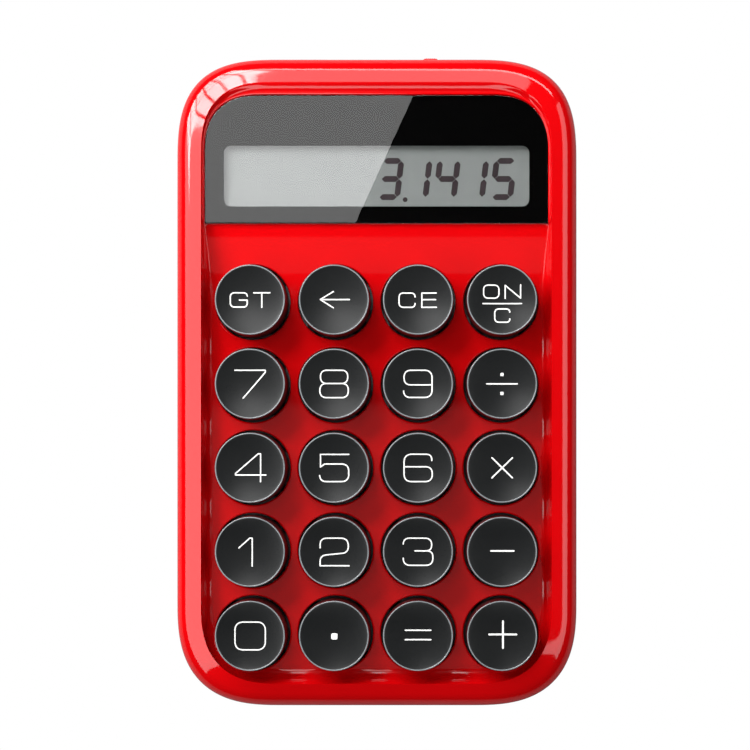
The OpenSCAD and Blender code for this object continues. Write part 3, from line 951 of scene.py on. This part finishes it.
def ring(x0, x1, y0, y1, r):
    return [(x0, y0, r), (x1, y0, r), (x1, y1, r), (x0, y1, r)], True


def line(*corners):
    return list(corners), False


# Strokes in millimetres from the key's middle, each as (corners, closed).
legends = {
    "0": [ring(-3.8, 3.8, -3.55, 3.4, 1.9)],
    "1": [line((-2.85, 0.95), (-0.1, 3.4), (0.5, 3.4), (0.5, -3.6))],
    "2": [line((-3.5, 0.95), (-3.5, 3.4, 1.5), (3.55, 3.4, 1.7), (3.55, -0.25, 1.5), (-3.5, -0.95, 1.5),
               (-3.5, -3.5), (3.75, -3.5))],
    "3": [line((-3.7, 1.95), (-3.7, 3.4, 1.4), (3.4, 3.4, 1.5), (3.4, 0.2, 1.3), (-0.8, 0.2)),
          line((2.0, 0.2), (3.7, 0.2, 1.3), (3.7, -3.4, 1.6), (-3.7, -3.4, 1.6), (-3.7, -1.6))],
    "4": [line((2.6, -3.5), (2.6, 3.5), (2.0, 3.5), (-3.65, -1.4), (-3.65, -1.8), (3.95, -1.8))],
    "5": [line((3.7, 3.35), (-3.4, 3.35), (-3.4, 0.2), (-2.4, 0.95, 0.6), (3.65, 0.95, 1.6),
               (3.65, -3.45, 1.6), (-3.6, -3.45, 1.5), (-3.6, -1.9))],
    "6": [line((3.45, 1.8), (3.45, 3.4, 1.3), (-3.5, 3.4, 1.8), (-3.5, -3.45, 1.7), (3.55, -3.45, 1.6),
               (3.55, 0.25, 1.5), (-3.4, 0.25))],
    "7": [line((-3.8, 3.4), (3.8, 3.4), (3.8, 2.9), (-1.75, -3.55))],
    "8": [ring(-3.4, 3.4, 0.1, 3.4, 1.4), ring(-3.55, 3.55, -3.45, 0.1, 1.5)],
    "9": [line((3.5, -0.25), (-3.5, -0.25, 1.5), (-3.5, 3.4, 1.6), (3.5, 3.4, 1.7), (3.5, -3.4, 1.7),
               (-3.6, -3.4, 1.5), (-3.6, -1.8))],
    "plus": [line((-3.2, 0.3), (3.6, 0.3)), line((0.25, 3.6), (0.25, -3.1))],
    "minus": [line((-2.75, 0.2), (2.95, 0.2))],
    "times": [line((-2.5, 2.5), (2.6, -2.5)), line((2.6, 2.5), (-2.5, -2.5))],
    "divide": [line((-3.8, 0.0), (3.8, 0.0))],
    "equals": [line((-3.2, 1.35), (3.2, 1.35)), line((-3.2, -1.0), (3.2, -1.0))],
    "point": [],
    "total": [line((-0.75, 1.0), (-0.75, 1.78, 0.8), (-4.95, 1.78, 1.0), (-4.95, -1.78, 1.0),
                   (-0.75, -1.78, 0.9), (-0.75, -0.05), (-2.7, -0.05)),
              line((0.85, 1.78), (4.95, 1.78)), line((2.9, 1.78), (2.9, -1.85))],
    "ce": [line((-0.75, 0.75), (-0.75, 1.72, 0.9), (-4.75, 1.72, 1.0), (-4.75, -1.85, 1.0),
                (-0.75, -1.85, 0.9), (-0.75, -0.85)),
           line((4.55, 1.72), (0.95, 1.72), (0.95, -1.85), (4.6, -1.85)), line((0.95, 0.08), (4.4, 0.08))],
    "on": [ring(-4.6, -0.75, 0.45, 3.7, 1.1), line((0.8, 0.4), (0.8, 3.65), (4.65, 0.45), (4.65, 3.75)),
           line((-4.75, -0.92), (4.9, -0.92)),
           line((1.95, -2.9), (1.95, -2.25, 0.8), (-1.8, -2.25, 0.95), (-1.8, -5.6, 0.95), (1.95, -5.6, 0.8),
                (1.95, -4.75))],
    "back": [line((3.85, 0.1), (-3.4, 0.1)), line((-0.2, 2.1), (-3.45, 0.1), (-0.2, -1.95))],
}
inkDots = {"point": [(0.05, -0.2, 0.78)], "divide": [(0.0, 2.35, 0.4), (0.0, -2.4, 0.4)]}
strokeOf = {"plus": 0.46, "minus": 0.4, "times": 0.36, "divide": 0.35, "equals": 0.34}


def legendMesh(name):
    parts = []
    strokes = [roundPath(corners, closed) for corners, closed in legends[name]]
    if strokes:
        parts.append(inkMesh(strokes, strokeOf.get(name, key["stroke"])))
    for x, y, half in inkDots.get(name, []):
        box = roundedBox(x - half, x + half, y - half, y + half, half * 0.45, 3)
        height = float(dishHeight(math.hypot(x, y)))
        parts.append(platePoints([box], [], height - key["inkRoot"], height + key["ink"] + 0.01))
    return joinParts(parts)


for row in range(5):
    for column in range(4):
        name = keyRows[row][column]
        centre = np.array(keyCentre(row, column))
        points, faces = joinParts([latheMesh(keyProfile(), 96, centre), postMesh(centre)])
        cap = makePiece("keycap_" + name, points, faces, keyAbs, sharp=40)
        # The lip's faces take the lighter grey, which paints a highlight ring round each key top.
        cap.data.materials.append(lipHighlightAbs)
        for face in cap.data.polygons:
            place = (np.array(face.center) - deckZero) @ deckTurn * 1000
            onLip = place[2] > key["top"] - key["lip"] and math.dist(place[:2], centre) > dishEdge
            face.material_index = 1 if onLip else 0
        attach(cap, "key_" + name)
        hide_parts("key_" + name)
        points, faces = legendMesh(name)
        points[:, :2] += centre
        legend = makePiece("legend_" + name, points, faces, whiteInk, sharp=40)
        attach(legend, "key_" + name)
print("keys ready")


# Lower shell and battery door.

lower = {"foot": 1.2, "round": 8.0, "step": 1.0, "wall": 2.4, "lip": (2.75, 3.75), "lipLow": -9.0,
         "lipHigh": -5.8, "bayHalf": 25.9, "bayMiddle": 57.5, "bayDeep": 11.6, "bayTop": 14.2, "bayWall": 1.6,
         "boss": 3.2, "boardLow": -14.6, "rearBoss": -12.94, "rearSeat": -16.0, "hole": 1.15, "sink": 2.2,
         "footHole": 4.6}
bosses = [keyCentre(0.5, 0.5), keyCentre(0.5, 2.5), keyCentre(3.5, 0.5), keyCentre(3.5, 2.5),
          (-36, 67), (36, 67)]
footPlaces = [(-35, -62), (35, -62), (-37, 54), (37, 54)]
door = {"half": 28.0, "front": 43.0, "high": 11.2, "skin": 1.4, "gap": 0.15, "grip": (59.5, 62.5, 65.5),
        "gripHalf": 8.0}


def underHeight(y):
    return (lower["foot"] - deckZero[2] * 1000 - y * math.sin(tilt)) / math.cos(tilt)


def lowerSolid(inset, over=0.0):
    # The lower case's outer skin, moved inwards, as a closed solid.
    rings = []
    for angle in np.linspace(90, 0, 13):
        a = math.radians(angle)
        moved = inset + (lower["round"] - inset) * (1 - math.cos(a))
        loop = superOutline(insetShape(rim["outer"], lower["step"] + moved), 30, 3.0)
        rise = inset + (lower["round"] - inset) * (1 - math.sin(a))
        rings.append(np.column_stack([loop, underHeight(loop[:, 1]) + rise]))
    loop = superOutline(insetShape(rim["outer"], rim["draft"] + inset), 30, 3.0)
    rings.append(atHeight(loop, rim["parting"] + over))
    return stack(rings), ringFaces(rings, closeLow=True, closeHigh=True)


def boxSolid(low, high):
    x, y, z = zip(low, high)
    points = [(x[i], y[j], z[k]) for k in (0, 1) for j in (0, 1) for i in (0, 1)]
    return points, [(0, 2, 3, 1), (4, 5, 7, 6), (0, 1, 5, 4), (2, 6, 7, 3), (0, 4, 6, 2), (1, 3, 7, 5)]


def roundedSlab(low, high, corner, edge, steps=4):
    # A block with rounded upright corners and rounded upper and lower edges.
    rings = []
    for z, side in ((low[2], 1), (high[2], -1)):
        level = []
        for angle in np.linspace(90, 0, steps + 1):
            a = math.radians(angle)
            inset = edge * (1 - math.cos(a))
            loop = roundedBox(low[0] + inset, high[0] - inset, low[1] + inset, high[1] - inset,
                              max(corner - inset, 0.02), 5)
            level.append(atHeight(loop, z + side * edge * (1 - math.sin(a))))
        rings += level if side > 0 else level[::-1]
    return stack(rings), ringFaces(rings, closeLow=True, closeHigh=True)


def plainObject(name, points, faces, inWorld=False, scale=0.001):
    # A bare mesh to carve with, or to carve.
    mesh = bpy.data.meshes.new(name)
    placed = np.asarray(points, float).reshape(-1, 3) * scale if inWorld else onDeck(points)
    mesh.from_pydata(placed.tolist(), [], [tuple(int(i) for i in f) for f in faces])
    obj = bpy.data.objects.new(name, mesh)
    scene.collection.objects.link(obj)
    tidyMesh(obj)
    return obj


def carve(obj, steps):
    # Applies a row of booleans and drops the tools.
    for operation, tool in steps:
        modifier = obj.modifiers.new("carve", "BOOLEAN")
        modifier.operation, modifier.object, modifier.solver = operation, tool, "EXACT"
    applyModifiers(obj)
    for _, tool in steps:
        bpy.data.objects.remove(tool)
    return obj


def applyModifiers(obj):
    bpy.context.view_layer.update()
    mesh = bpy.data.meshes.new_from_object(obj.evaluated_get(bpy.context.evaluated_depsgraph_get()))
    obj.modifiers.clear()
    obj.data = mesh
    return obj


def evenShading(obj, sharp=32):
    # Cleans a carved mesh, and shades it so that its flat faces stay flat.
    tidyMesh(obj, sharp)
    modifier = obj.modifiers.new("even", "WEIGHTED_NORMAL")
    modifier.keep_sharp = True
    applyModifiers(obj)


def onlyMaterial(obj, material):
    obj.data.materials.clear()
    obj.data.materials.append(material)


def screwTool(place):
    # The hole for a case screw, with its sunk head.
    sink, hole, seat = lower["sink"], lower["hole"], screwSeat(place)
    return latheMesh([(0, -40), (sink, -40), (sink, seat), (hole, seat), (hole, -11), (0, -11)], 40, place)


def screwSeat(place):
    return lower["boardLow"] - 2 if place[1] < 50 else lower["rearSeat"]


def post(place, top):
    return latheMesh([(0, -40), (lower["boss"], -40), (lower["boss"], top), (0, top)], 40, place)


def footHole(place):
    top = lower["foot"] + 0.8
    return latheMesh([(0, -1), (lower["footHole"], -1), (lower["footHole"], top), (0, top)], 48, place)


lipLoops = [superOutline(insetShape(rim["outer"], inset), 30, 3.0) for inset in lower["lip"]]
lipRings = [atHeight(lipLoops[0], lower["lipLow"]), atHeight(lipLoops[0], lower["lipHigh"]),
            atHeight(lipLoops[1], lower["lipHigh"]), atHeight(lipLoops[1], lower["lipLow"])]
lip = plainObject("lip", stack(lipRings), wrapFaces(len(lipLoops[0]), 4))
h, b, w, middle = lower["bayHalf"], lower["bayDeep"], lower["bayWall"], lower["bayMiddle"]
bayBlock = roundedSlab((-h - w, middle - b - w, 2.7),
                       (h + w, middle + b + w, lower["bayTop"] + 1.5), 1.0, 0.4)
bay = roundedSlab((-h, middle - b, -1), (h, middle + b, lower["bayTop"]), 0.8, 0.3)
tops = [lower["boardLow"] - 0.05] * 4 + [lower["rearBoss"]] * 2
posts = carve(plainObject("posts", *joinParts([post(place, top) for place, top in zip(bosses, tops)])),
              [("INTERSECT", plainObject("skin", *lowerSolid(0.5)))])
gap = door["gap"]
rebate = boxSolid((-door["half"] - gap, door["front"] - gap, -1),
                  (door["half"] + gap, 100, door["high"] + gap))
rebate = carve(plainObject("rebate", *rebate, inWorld=True),
               [("DIFFERENCE", plainObject("inside", *lowerSolid(door["skin"] + gap, 1.0)))])
screwHoles = joinParts([screwTool(place) for place in bosses])
footHoles = joinParts([footHole(place) for place in footPlaces])
lowerShell = plainObject("lowerShell", *lowerSolid(0))
carve(lowerShell, [
    ("DIFFERENCE", plainObject("inside", *lowerSolid(lower["wall"], 0.5))),
    ("UNION", lip),
    ("UNION", plainObject("bayBlock", *bayBlock, inWorld=True)),
    ("UNION", posts),
    ("DIFFERENCE", plainObject("bay", *bay, inWorld=True)),
    ("DIFFERENCE", rebate),
    ("DIFFERENCE", plainObject("screwHoles", *screwHoles)),
    ("DIFFERENCE", plainObject("footHoles", *footHoles, inWorld=True)),
])
onlyMaterial(lowerShell, redAbs)
evenShading(lowerShell)
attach(lowerShell, "case")
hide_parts("lower_shell")
print("lower shell", len(lowerShell.data.polygons))

doorBlock = boxSolid((-door["half"], door["front"], -1), (door["half"], 100, door["high"]))
batteryDoor = plainObject("batteryDoor", *doorBlock, inWorld=True)
carve(batteryDoor, [
    ("INTERSECT", plainObject("skin", *lowerSolid(0))),
    ("DIFFERENCE", plainObject("inside", *lowerSolid(door["skin"], 1.0))),
])
onlyMaterial(batteryDoor, redAbs)
evenShading(batteryDoor)
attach(batteryDoor, "battery_door")
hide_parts("battery_door")


# Repeated parts.

def newTree(name, sockets):
    tree = bpy.data.node_groups.new(name, "GeometryNodeTree")
    tree.interface.new_socket("Geometry", in_out="INPUT", socket_type="NodeSocketGeometry")
    for socketName, kind in sockets:
        tree.interface.new_socket(socketName, in_out="INPUT", socket_type=kind)
    tree.interface.new_socket("Geometry", in_out="OUTPUT", socket_type="NodeSocketGeometry")
    return tree, tree.nodes.new("NodeGroupInput"), tree.nodes.new("NodeGroupOutput")


def finishTree(tree, result, geometry, material):
    # Every tree ends in real geometry with one material.
    real = addNode(tree, "GeometryNodeRealizeInstances", {}, {"Geometry": geometry})
    painted = addNode(tree, "GeometryNodeSetMaterial", {}, {
        "Geometry": real.outputs[0], "Material": material})
    tree.links.new(painted.outputs[0], result.inputs[0])


# Copies one part to each point of the carrier mesh.
copyTree, given, result = newTree("copiesAtPoints", [
    ("Part", "NodeSocketObject"), ("Turn", "NodeSocketFloat"), ("Finish", "NodeSocketMaterial")])
part = addNode(copyTree, "GeometryNodeObjectInfo", {}, {"Object": given.outputs["Part"]})
turn = addNode(copyTree, "ShaderNodeCombineXYZ", {}, {"Z": given.outputs["Turn"]})
copies = addNode(copyTree, "GeometryNodeInstanceOnPoints", {}, {
    "Points": given.outputs["Geometry"], "Instance": part.outputs["Geometry"], "Rotation": turn.outputs[0]})
finishTree(copyTree, result, copies.outputs[0], given.outputs["Finish"])

# Winds a round wire along a rising spiral, for springs and screw threads.
coilTree, given, result = newTree("windCoil", [
    ("Turns", "NodeSocketFloat"), ("Low Radius", "NodeSocketFloat"), ("High Radius", "NodeSocketFloat"),
    ("Height", "NodeSocketFloat"), ("Wire", "NodeSocketFloat"), ("Finish", "NodeSocketMaterial")])
spiral = addNode(coilTree, "GeometryNodeCurveSpiral", {"Resolution": 28}, {
    "Rotations": given.outputs["Turns"], "Start Radius": given.outputs["Low Radius"],
    "End Radius": given.outputs["High Radius"], "Height": given.outputs["Height"]})
wire = addNode(coilTree, "GeometryNodeCurvePrimitiveCircle", {"Resolution": 10}, {
    "Radius": given.outputs["Wire"]})
tube = addNode(coilTree, "GeometryNodeCurveToMesh", {"Fill Caps": True}, {
    "Curve": spiral.outputs[0], "Profile Curve": wire.outputs[0]})
finishTree(coilTree, result, tube.outputs[0], given.outputs["Finish"])


def runTree(tree, settings, carrier):
    # Evaluates a tree on a carrier mesh in millimetres, and returns plain points and faces.
    mesh = bpy.data.meshes.new("carrier")
    mesh.from_pydata([tuple(map(float, p)) for p in carrier], [], [])
    obj = bpy.data.objects.new("carrier", mesh)
    scene.collection.objects.link(obj)
    modifier = obj.modifiers.new("make", "NODES")
    modifier.node_group = tree
    for item in tree.interface.items_tree:
        if item.in_out == "INPUT" and item.name in settings:
            modifier[item.identifier] = settings[item.name]
    applyModifiers(obj)
    points = np.array([tuple(v.co) for v in obj.data.vertices])
    faces = [tuple(f.vertices) for f in obj.data.polygons]
    bpy.data.objects.remove(obj)
    return points, faces


def copyParts(points, faces, places, finishMaterial, turn=0.0):
    # The part is in millimetres about the origin, and each place is in the deck or the table's frame.
    mesh = bpy.data.meshes.new("part")
    mesh.from_pydata([tuple(map(float, p)) for p in points], [], [tuple(int(i) for i in f) for f in faces])
    part = bpy.data.objects.new("part", mesh)
    scene.collection.objects.link(part)
    found = runTree(copyTree, {"Part": part, "Turn": turn, "Finish": finishMaterial}, places)
    bpy.data.objects.remove(part)
    return found


def coil(turns, lowRadius, highRadius, height, wireRadius, finishMaterial):
    # Points and faces of a coil of round wire, with its lowest point at height 0.
    points, faces = runTree(coilTree, {
        "Turns": float(turns), "Low Radius": float(lowRadius), "High Radius": float(highRadius),
        "Height": float(height), "Wire": float(wireRadius), "Finish": finishMaterial}, [(0, 0, 0)])
    return points - (0, 0, points[:, 2].min()), faces


# Grip ribs on the battery door.
rib = roundedSlab((-door["gripHalf"], -0.5, -0.4), (door["gripHalf"], 0.5, 0.5), 0.35, 0.25)
points, faces = copyParts(*rib, [(0, y, lower["foot"]) for y in door["grip"]], redAbs)
doorGrip = makePiece("doorGrip", points, faces, redAbs, inWorld=True)
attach(doorGrip, "battery_door")

# Plunger springs, one to a switch.
spring = {"foot": -11.75, "height": 5.7, "middle": 2.1, "wire": 0.2, "turns": 5, "keep": 0.386}
wound, wireFaces = coil(spring["turns"], spring["middle"], spring["middle"],
                        spring["height"] - 2 * spring["wire"], spring["wire"], springSteel)
for row in range(5):
    for column in range(4):
        name = keyRows[row][column]
        x, y = keyCentre(row, column)
        piece = makePiece("spring_" + name, wound + (x, y, spring["foot"]), wireFaces, springSteel, sharp=60)
        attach(piece, "case")
        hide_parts("switch_springs")
        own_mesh(piece)

# Pan-head case screws: a cross in each head, and a rolled thread.
screw = {"head": 1.9, "headHigh": 1.4, "shank": 0.66, "length": 11.0, "pitch": 0.7, "thread": 0.11,
         "cross": (1.1, 0.25, 0.6), "brim": 0.75, "edge": 0.65}
edge = screw["edge"]
rounded = [(screw["head"] - edge * (1 - math.cos(a)), -screw["brim"] - edge * math.sin(a))
           for a in np.linspace(0, 1.5, 7)]
profile = [(0, 0), (screw["head"], 0)] + rounded + [(0, -screw["headHigh"])]
headPiece = plainObject("head", *latheMesh(profile, 40), inWorld=True, scale=1)
reach, half, deep = screw["cross"]
slots = [boxSolid((-x, -y, -3), (x, y, -deep)) for x, y in ((reach, half), (half, reach))]
carve(headPiece, [("DIFFERENCE", plainObject("slot", *slot, inWorld=True, scale=1)) for slot in slots])
headMesh = (np.array([tuple(v.co) for v in headPiece.data.vertices]),
            [tuple(f.vertices) for f in headPiece.data.polygons])
bpy.data.objects.remove(headPiece)
rise = screw["length"] - 2.5
threadPoints, threadFaces = coil(rise / screw["pitch"], screw["shank"], screw["shank"], rise, screw["thread"],
                                 screwSteel)
shank = latheMesh([(0, -0.2), (screw["shank"], -0.2), (screw["shank"], screw["length"] - 0.7),
                   (0.15, screw["length"] - 0.02), (0, screw["length"])], 20)
points, faces = joinParts([headMesh, shank, (threadPoints + (0, 0, 1.6), threadFaces)])
seats = [(x, y, screwSeat((x, y))) for x, y in bosses]
points, faces = copyParts(points, faces, seats, screwSteel)
screws = makePiece("caseScrews", points, faces, screwSteel, sharp=35)
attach(screws, "case")
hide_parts("case_screws")

# Rubber feet: a rounded rim round a shallow dish.
footHigh = lower["foot"] + 0.75
foot = [(0, 0.18), (2.9, 0.18), (3.2, 0.02), (3.35, 0.0), (4.05, 0.0), (4.36, 0.12), (4.48, 0.4), (4.5, 0.7),
        (4.5, footHigh), (0, footHigh)]
points, faces = copyParts(*latheMesh(foot, 64), [(x, y, 0) for x, y in footPlaces], footRubber)
feet = makePiece("rubberFeet", points, faces, footRubber, inWorld=True)
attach(feet, "case")
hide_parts("rubber_feet")

# Two cells that lie opposite ways, each in a printed sleeve crimped over its ends.
cell = {"half": 21.65, "nub": 1.9, "nubHigh": 1.0, "offset": 5.6, "z": 9.05, "metal": 4.9}


def alongX(points, way, y):
    # Lays a turned part down along x, with its upper end towards the given way.
    p = np.asarray(points, float)
    return np.column_stack([p[:, 2] * way, p[:, 0] * way + y, p[:, 1]]) + (0, 0, cell["z"])


h, r = cell["half"], cell["metal"]
canProfile = [(0, -h), (3.6, -h), (3.9, -h + 0.25), (4.5, -h + 0.25), (r, -h + 0.6), (r, h - 0.9),
              (r - 0.5, h - 0.45), (2.4, h - 0.45), (2.3, h - 0.5), (cell["nub"], h - 0.5),
              (cell["nub"], h + cell["nubHigh"] - 0.25), (cell["nub"] - 0.25, h + cell["nubHigh"]),
              (0, h + cell["nubHigh"])]
sleeveProfile = [(4.55, -h + 0.02), (4.9, -h), (5.08, -h + 0.12), (5.15, -h + 0.4), (5.15, h - 0.55),
                 (5.05, h - 0.2), (4.8, h - 0.12), (4.2, h - 0.2), (4.2, h - 0.32), (4.8, h - 0.3),
                 (4.92, h - 0.6), (4.92, -h + 0.5), (4.85, -h + 0.25), (4.55, -h + 0.15)]
for name, way in (("cellFront", -1), ("cellRear", 1)):
    y = lower["bayMiddle"] + way * cell["offset"]
    points, faces = latheMesh(canProfile, 56)
    can = makePiece(name + "Can", alongX(points, way, y), faces, cellSteel, inWorld=True)
    points, faces = latheMesh(sleeveProfile, 56)
    sleeve = makePiece(name + "Sleeve", alongX(points, way, y), faces, cellFilm, inWorld=True)
    for piece, slot in ((can, "contact_metal"), (sleeve, "cell_sleeve")):
        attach(piece, "case")
        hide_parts("batteries")

# Bay contacts: a flat plate at each nub, and a plate with a conical coil at each flat end.
contact = {"thick": 0.36, "wide": 9.0, "high": 8.0, "nubGap": 1.2, "endGap": 0.3}
t, w, h = contact["thick"] / 2, contact["wide"] / 2, contact["high"] / 2
platePart, plateFaces = roundedSlab((-t, -w, -h), (t, w, h), 0.1, 0.1)
coilPoints, coilFaces = coil(4, 3.35, 2.2, 3.0, 0.28, springSteel)
parts = []
for way in (-1, 1):
    y = lower["bayMiddle"] + way * cell["offset"]
    parts.append((platePart + (way * (cell["half"] + contact["nubGap"]), y, cell["z"]), plateFaces))
    parts.append((platePart + (-way * (lower["bayHalf"] - contact["endGap"]), y, cell["z"]), plateFaces))
    parts.append((alongX(coilPoints, way, y) - (way * (lower["bayHalf"] - 0.5), 0, 0), coilFaces))
points, faces = joinParts(parts)
contacts = makePiece("bayContacts", points, faces, springSteel, sharp=50, inWorld=True)
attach(contacts, "case")
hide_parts("battery_contacts")

# Slide knob: a ribbed pad on a neck that passes the slot.
knob = {"x": 13.6, "z": -1.5, "half": 1.75, "high": 1.7, "back": 81.58, "face": 82.36,
        "ribs": (-1.0, -0.5, 0.0, 0.5, 1.0)}
knobRib = roundedSlab((-0.14, -0.25, -1.35), (0.14, 0.13, 1.35), 0.1, 0.08)
parts = [
    roundedSlab((-knob["half"], knob["back"], -knob["high"]),
                (knob["half"], knob["face"], knob["high"]), 0.25, 0.3),
    roundedSlab((-1.15, 77.5, -0.85), (1.15, 82.0, 0.85), 0.1, 0.1),
    roundedSlab((-2.0, 76.4, -1.5), (2.0, 78.4, 1.5), 0.3, 0.2),
    copyParts(*knobRib, [(x, knob["face"], 0) for x in knob["ribs"]], redAbs),
]
points, faces = joinParts(parts)
slideKnob = makePiece("slideKnob", points + (knob["x"], 0, knob["z"]), faces, redAbs)
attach(slideKnob, "slide_knob")
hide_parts("slide_knob")

# Solder joints under the main board, two to a switch.
solder = latheMesh([(0, -1.05), (0.28, -1.0), (0.36, -0.7), (0.6, -0.3), (1.05, -0.02),
                    (1.05, 0.05), (0, 0.05)], 20)
centres = [keyCentre(row, column) for row in range(5) for column in range(4)]
pins = [(x + dx, y + dy, lower["boardLow"]) for x, y in centres for dx, dy in ((-3.81, 2.54), (2.54, 5.08))]
points, faces = copyParts(*solder, pins, solderTin)
joints = makePiece("solderJoints", points, faces, solderTin, sharp=50)
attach(joints, "case")

# CAD parts whose shape is right take a finish of their own.
nodeFinish = {
    "lcd_panel": lcdGlass, "lcd_frame": frameWhite, "zebra_strips": zebraRubber, "lcd_board": boardGreen,
    "ribbon_cable": cableFilm, "switch_plate": plateSteel, "switch_housings": housingPlastic,
    "main_board": boardGreen, "board_components": potResin, "slide_switch_body": plateSteel,
}
for node, material in nodeFinish.items():
    onlyMaterial(nodes[node], material)
for node, obj in nodes.items():
    if node.startswith("stem_"):
        onlyMaterial(obj, stemPlastic)
print("inner parts ready")


# Stage, camera and lamps.

studio = {"eye": (14.5, -20.6, 458.0), "lens": 86.5, "shiftX": -0.0787, "shiftY": 0.1184, "floorSize": 3.0,
          "air": 0.02}

floorMaterial, tree, shader = newMaterial("paleFloor", "8a8a8a",
                                          {"Roughness": 0.9, "Specular IOR Level": 0.0})
paper = addNode(tree, "ShaderNodeEmission", {"Color": (1, 1, 1, 1), "Strength": 1.0})
seen = addNode(tree, "ShaderNodeLightPath").outputs["Is Camera Ray"]
floorMix = addNode(tree, "ShaderNodeMixShader", {}, {0: seen, 1: shader.outputs[0], 2: paper.outputs[0]})
tree.links.new(floorMix.outputs[0], tree.nodes["Material Output"].inputs["Surface"])
bpy.ops.mesh.primitive_plane_add(size=studio["floorSize"], location=(0, 0, 0))
floor = bpy.context.object
floor.name = "floor"
floor.data.materials.append(floorMaterial)

cameraData = bpy.data.cameras.new("camera")
camera = bpy.data.objects.new("camera", cameraData)
scene.collection.objects.link(camera)
scene.camera = camera
cameraData.lens, cameraData.sensor_width = studio["lens"], 36.0
cameraData.shift_x, cameraData.shift_y = studio["shiftX"], studio["shiftY"]
cameraData.clip_start, cameraData.clip_end = 0.01, 20.0
camera.matrix_world = Matrix.Translation(Vector(onDeck(studio["eye"])[0])) @ Matrix.Rotation(tilt, 4, "X")


def addPanel(name, centre, target, size, radiance, spin=0.0):
    # A soft box: a white rectangular area lamp aimed at a point, both in deck millimetres.
    data = bpy.data.lights.new(name, "AREA")
    data.shape = "RECTANGLE"
    data.size, data.size_y = size[0] * 0.001, size[1] * 0.001
    data.energy = radiance * math.pi * size[0] * size[1] * 1e-6
    lamp = bpy.data.objects.new(name, data)
    scene.collection.objects.link(lamp)
    place, aim = Vector(onDeck(centre)[0]), Vector(onDeck(target)[0])
    turn = (aim - place).to_track_quat("-Z", "Y").to_matrix().to_4x4()
    lamp.matrix_world = Matrix.Translation(place) @ turn @ Matrix.Rotation(math.radians(spin), 4, "Z")


world = bpy.data.worlds.new("studioAir")
scene.world = world
world.use_nodes = True
world.node_tree.nodes["Background"].inputs[0].default_value = (1, 1, 1, 1)
world.node_tree.nodes["Background"].inputs[1].default_value = studio["air"]


# Cards round the object, each (centre, aim, size, radiance, spin). The edge of the card behind and to
# the left shows as a slanting line in the lens.
cards = {
    "rearLeftCard": ((-82.5, 180.2, 460), (-82.5, 180.2, 0), (170, 166), 3.3, -24.4),
    "leftWall": ((-330, -40, 300), (0, -40, 300), (640, 300), 3.0, 0),
    "rearWall": ((70, 430, 330), (0, 80, 0), (560, 60), 8.0, 0),
    "rearBand": ((-80, 400, 402), (-80, 80, 0), (500, 100), 2.6, 0),
    "rightWall": ((330, 0, 300), (0, 0, 300), (560, 240), 2.2, 0),
    "frontStrip": ((0, -450, 455), (0, -10, 0), (460, 100), 3.0, 0),
    "topCard": ((0, -65, 485), (0, -65, 0), (420, 150), 0.2, 0),
}
for name, card in cards.items():
    addPanel(name, *card)

# A window of small panes behind the left corner: its bars show in the rim's gloss.
pane = {"middle": (-290, 330, 300), "count": (6, 4), "size": (62, 56), "gap": 13, "radiance": 15.5}
view = Vector(pane["middle"]) - Vector((-42, 70, 4))
side = Vector((-view.y, view.x, 0)).normalized()
up = side.cross(view).normalized()
for i in range(pane["count"][0]):
    for k in range(pane["count"][1]):
        shift = (side * (i - (pane["count"][0] - 1) / 2) * (pane["size"][0] + pane["gap"])
                 + up * (k - (pane["count"][1] - 1) / 2) * (pane["size"][1] + pane["gap"]))
        centre = Vector(pane["middle"]) + shift
        addPanel(f"pane_{i}_{k}", centre, centre - view, pane["size"], pane["radiance"])
scene.view_settings.view_transform = "Standard"
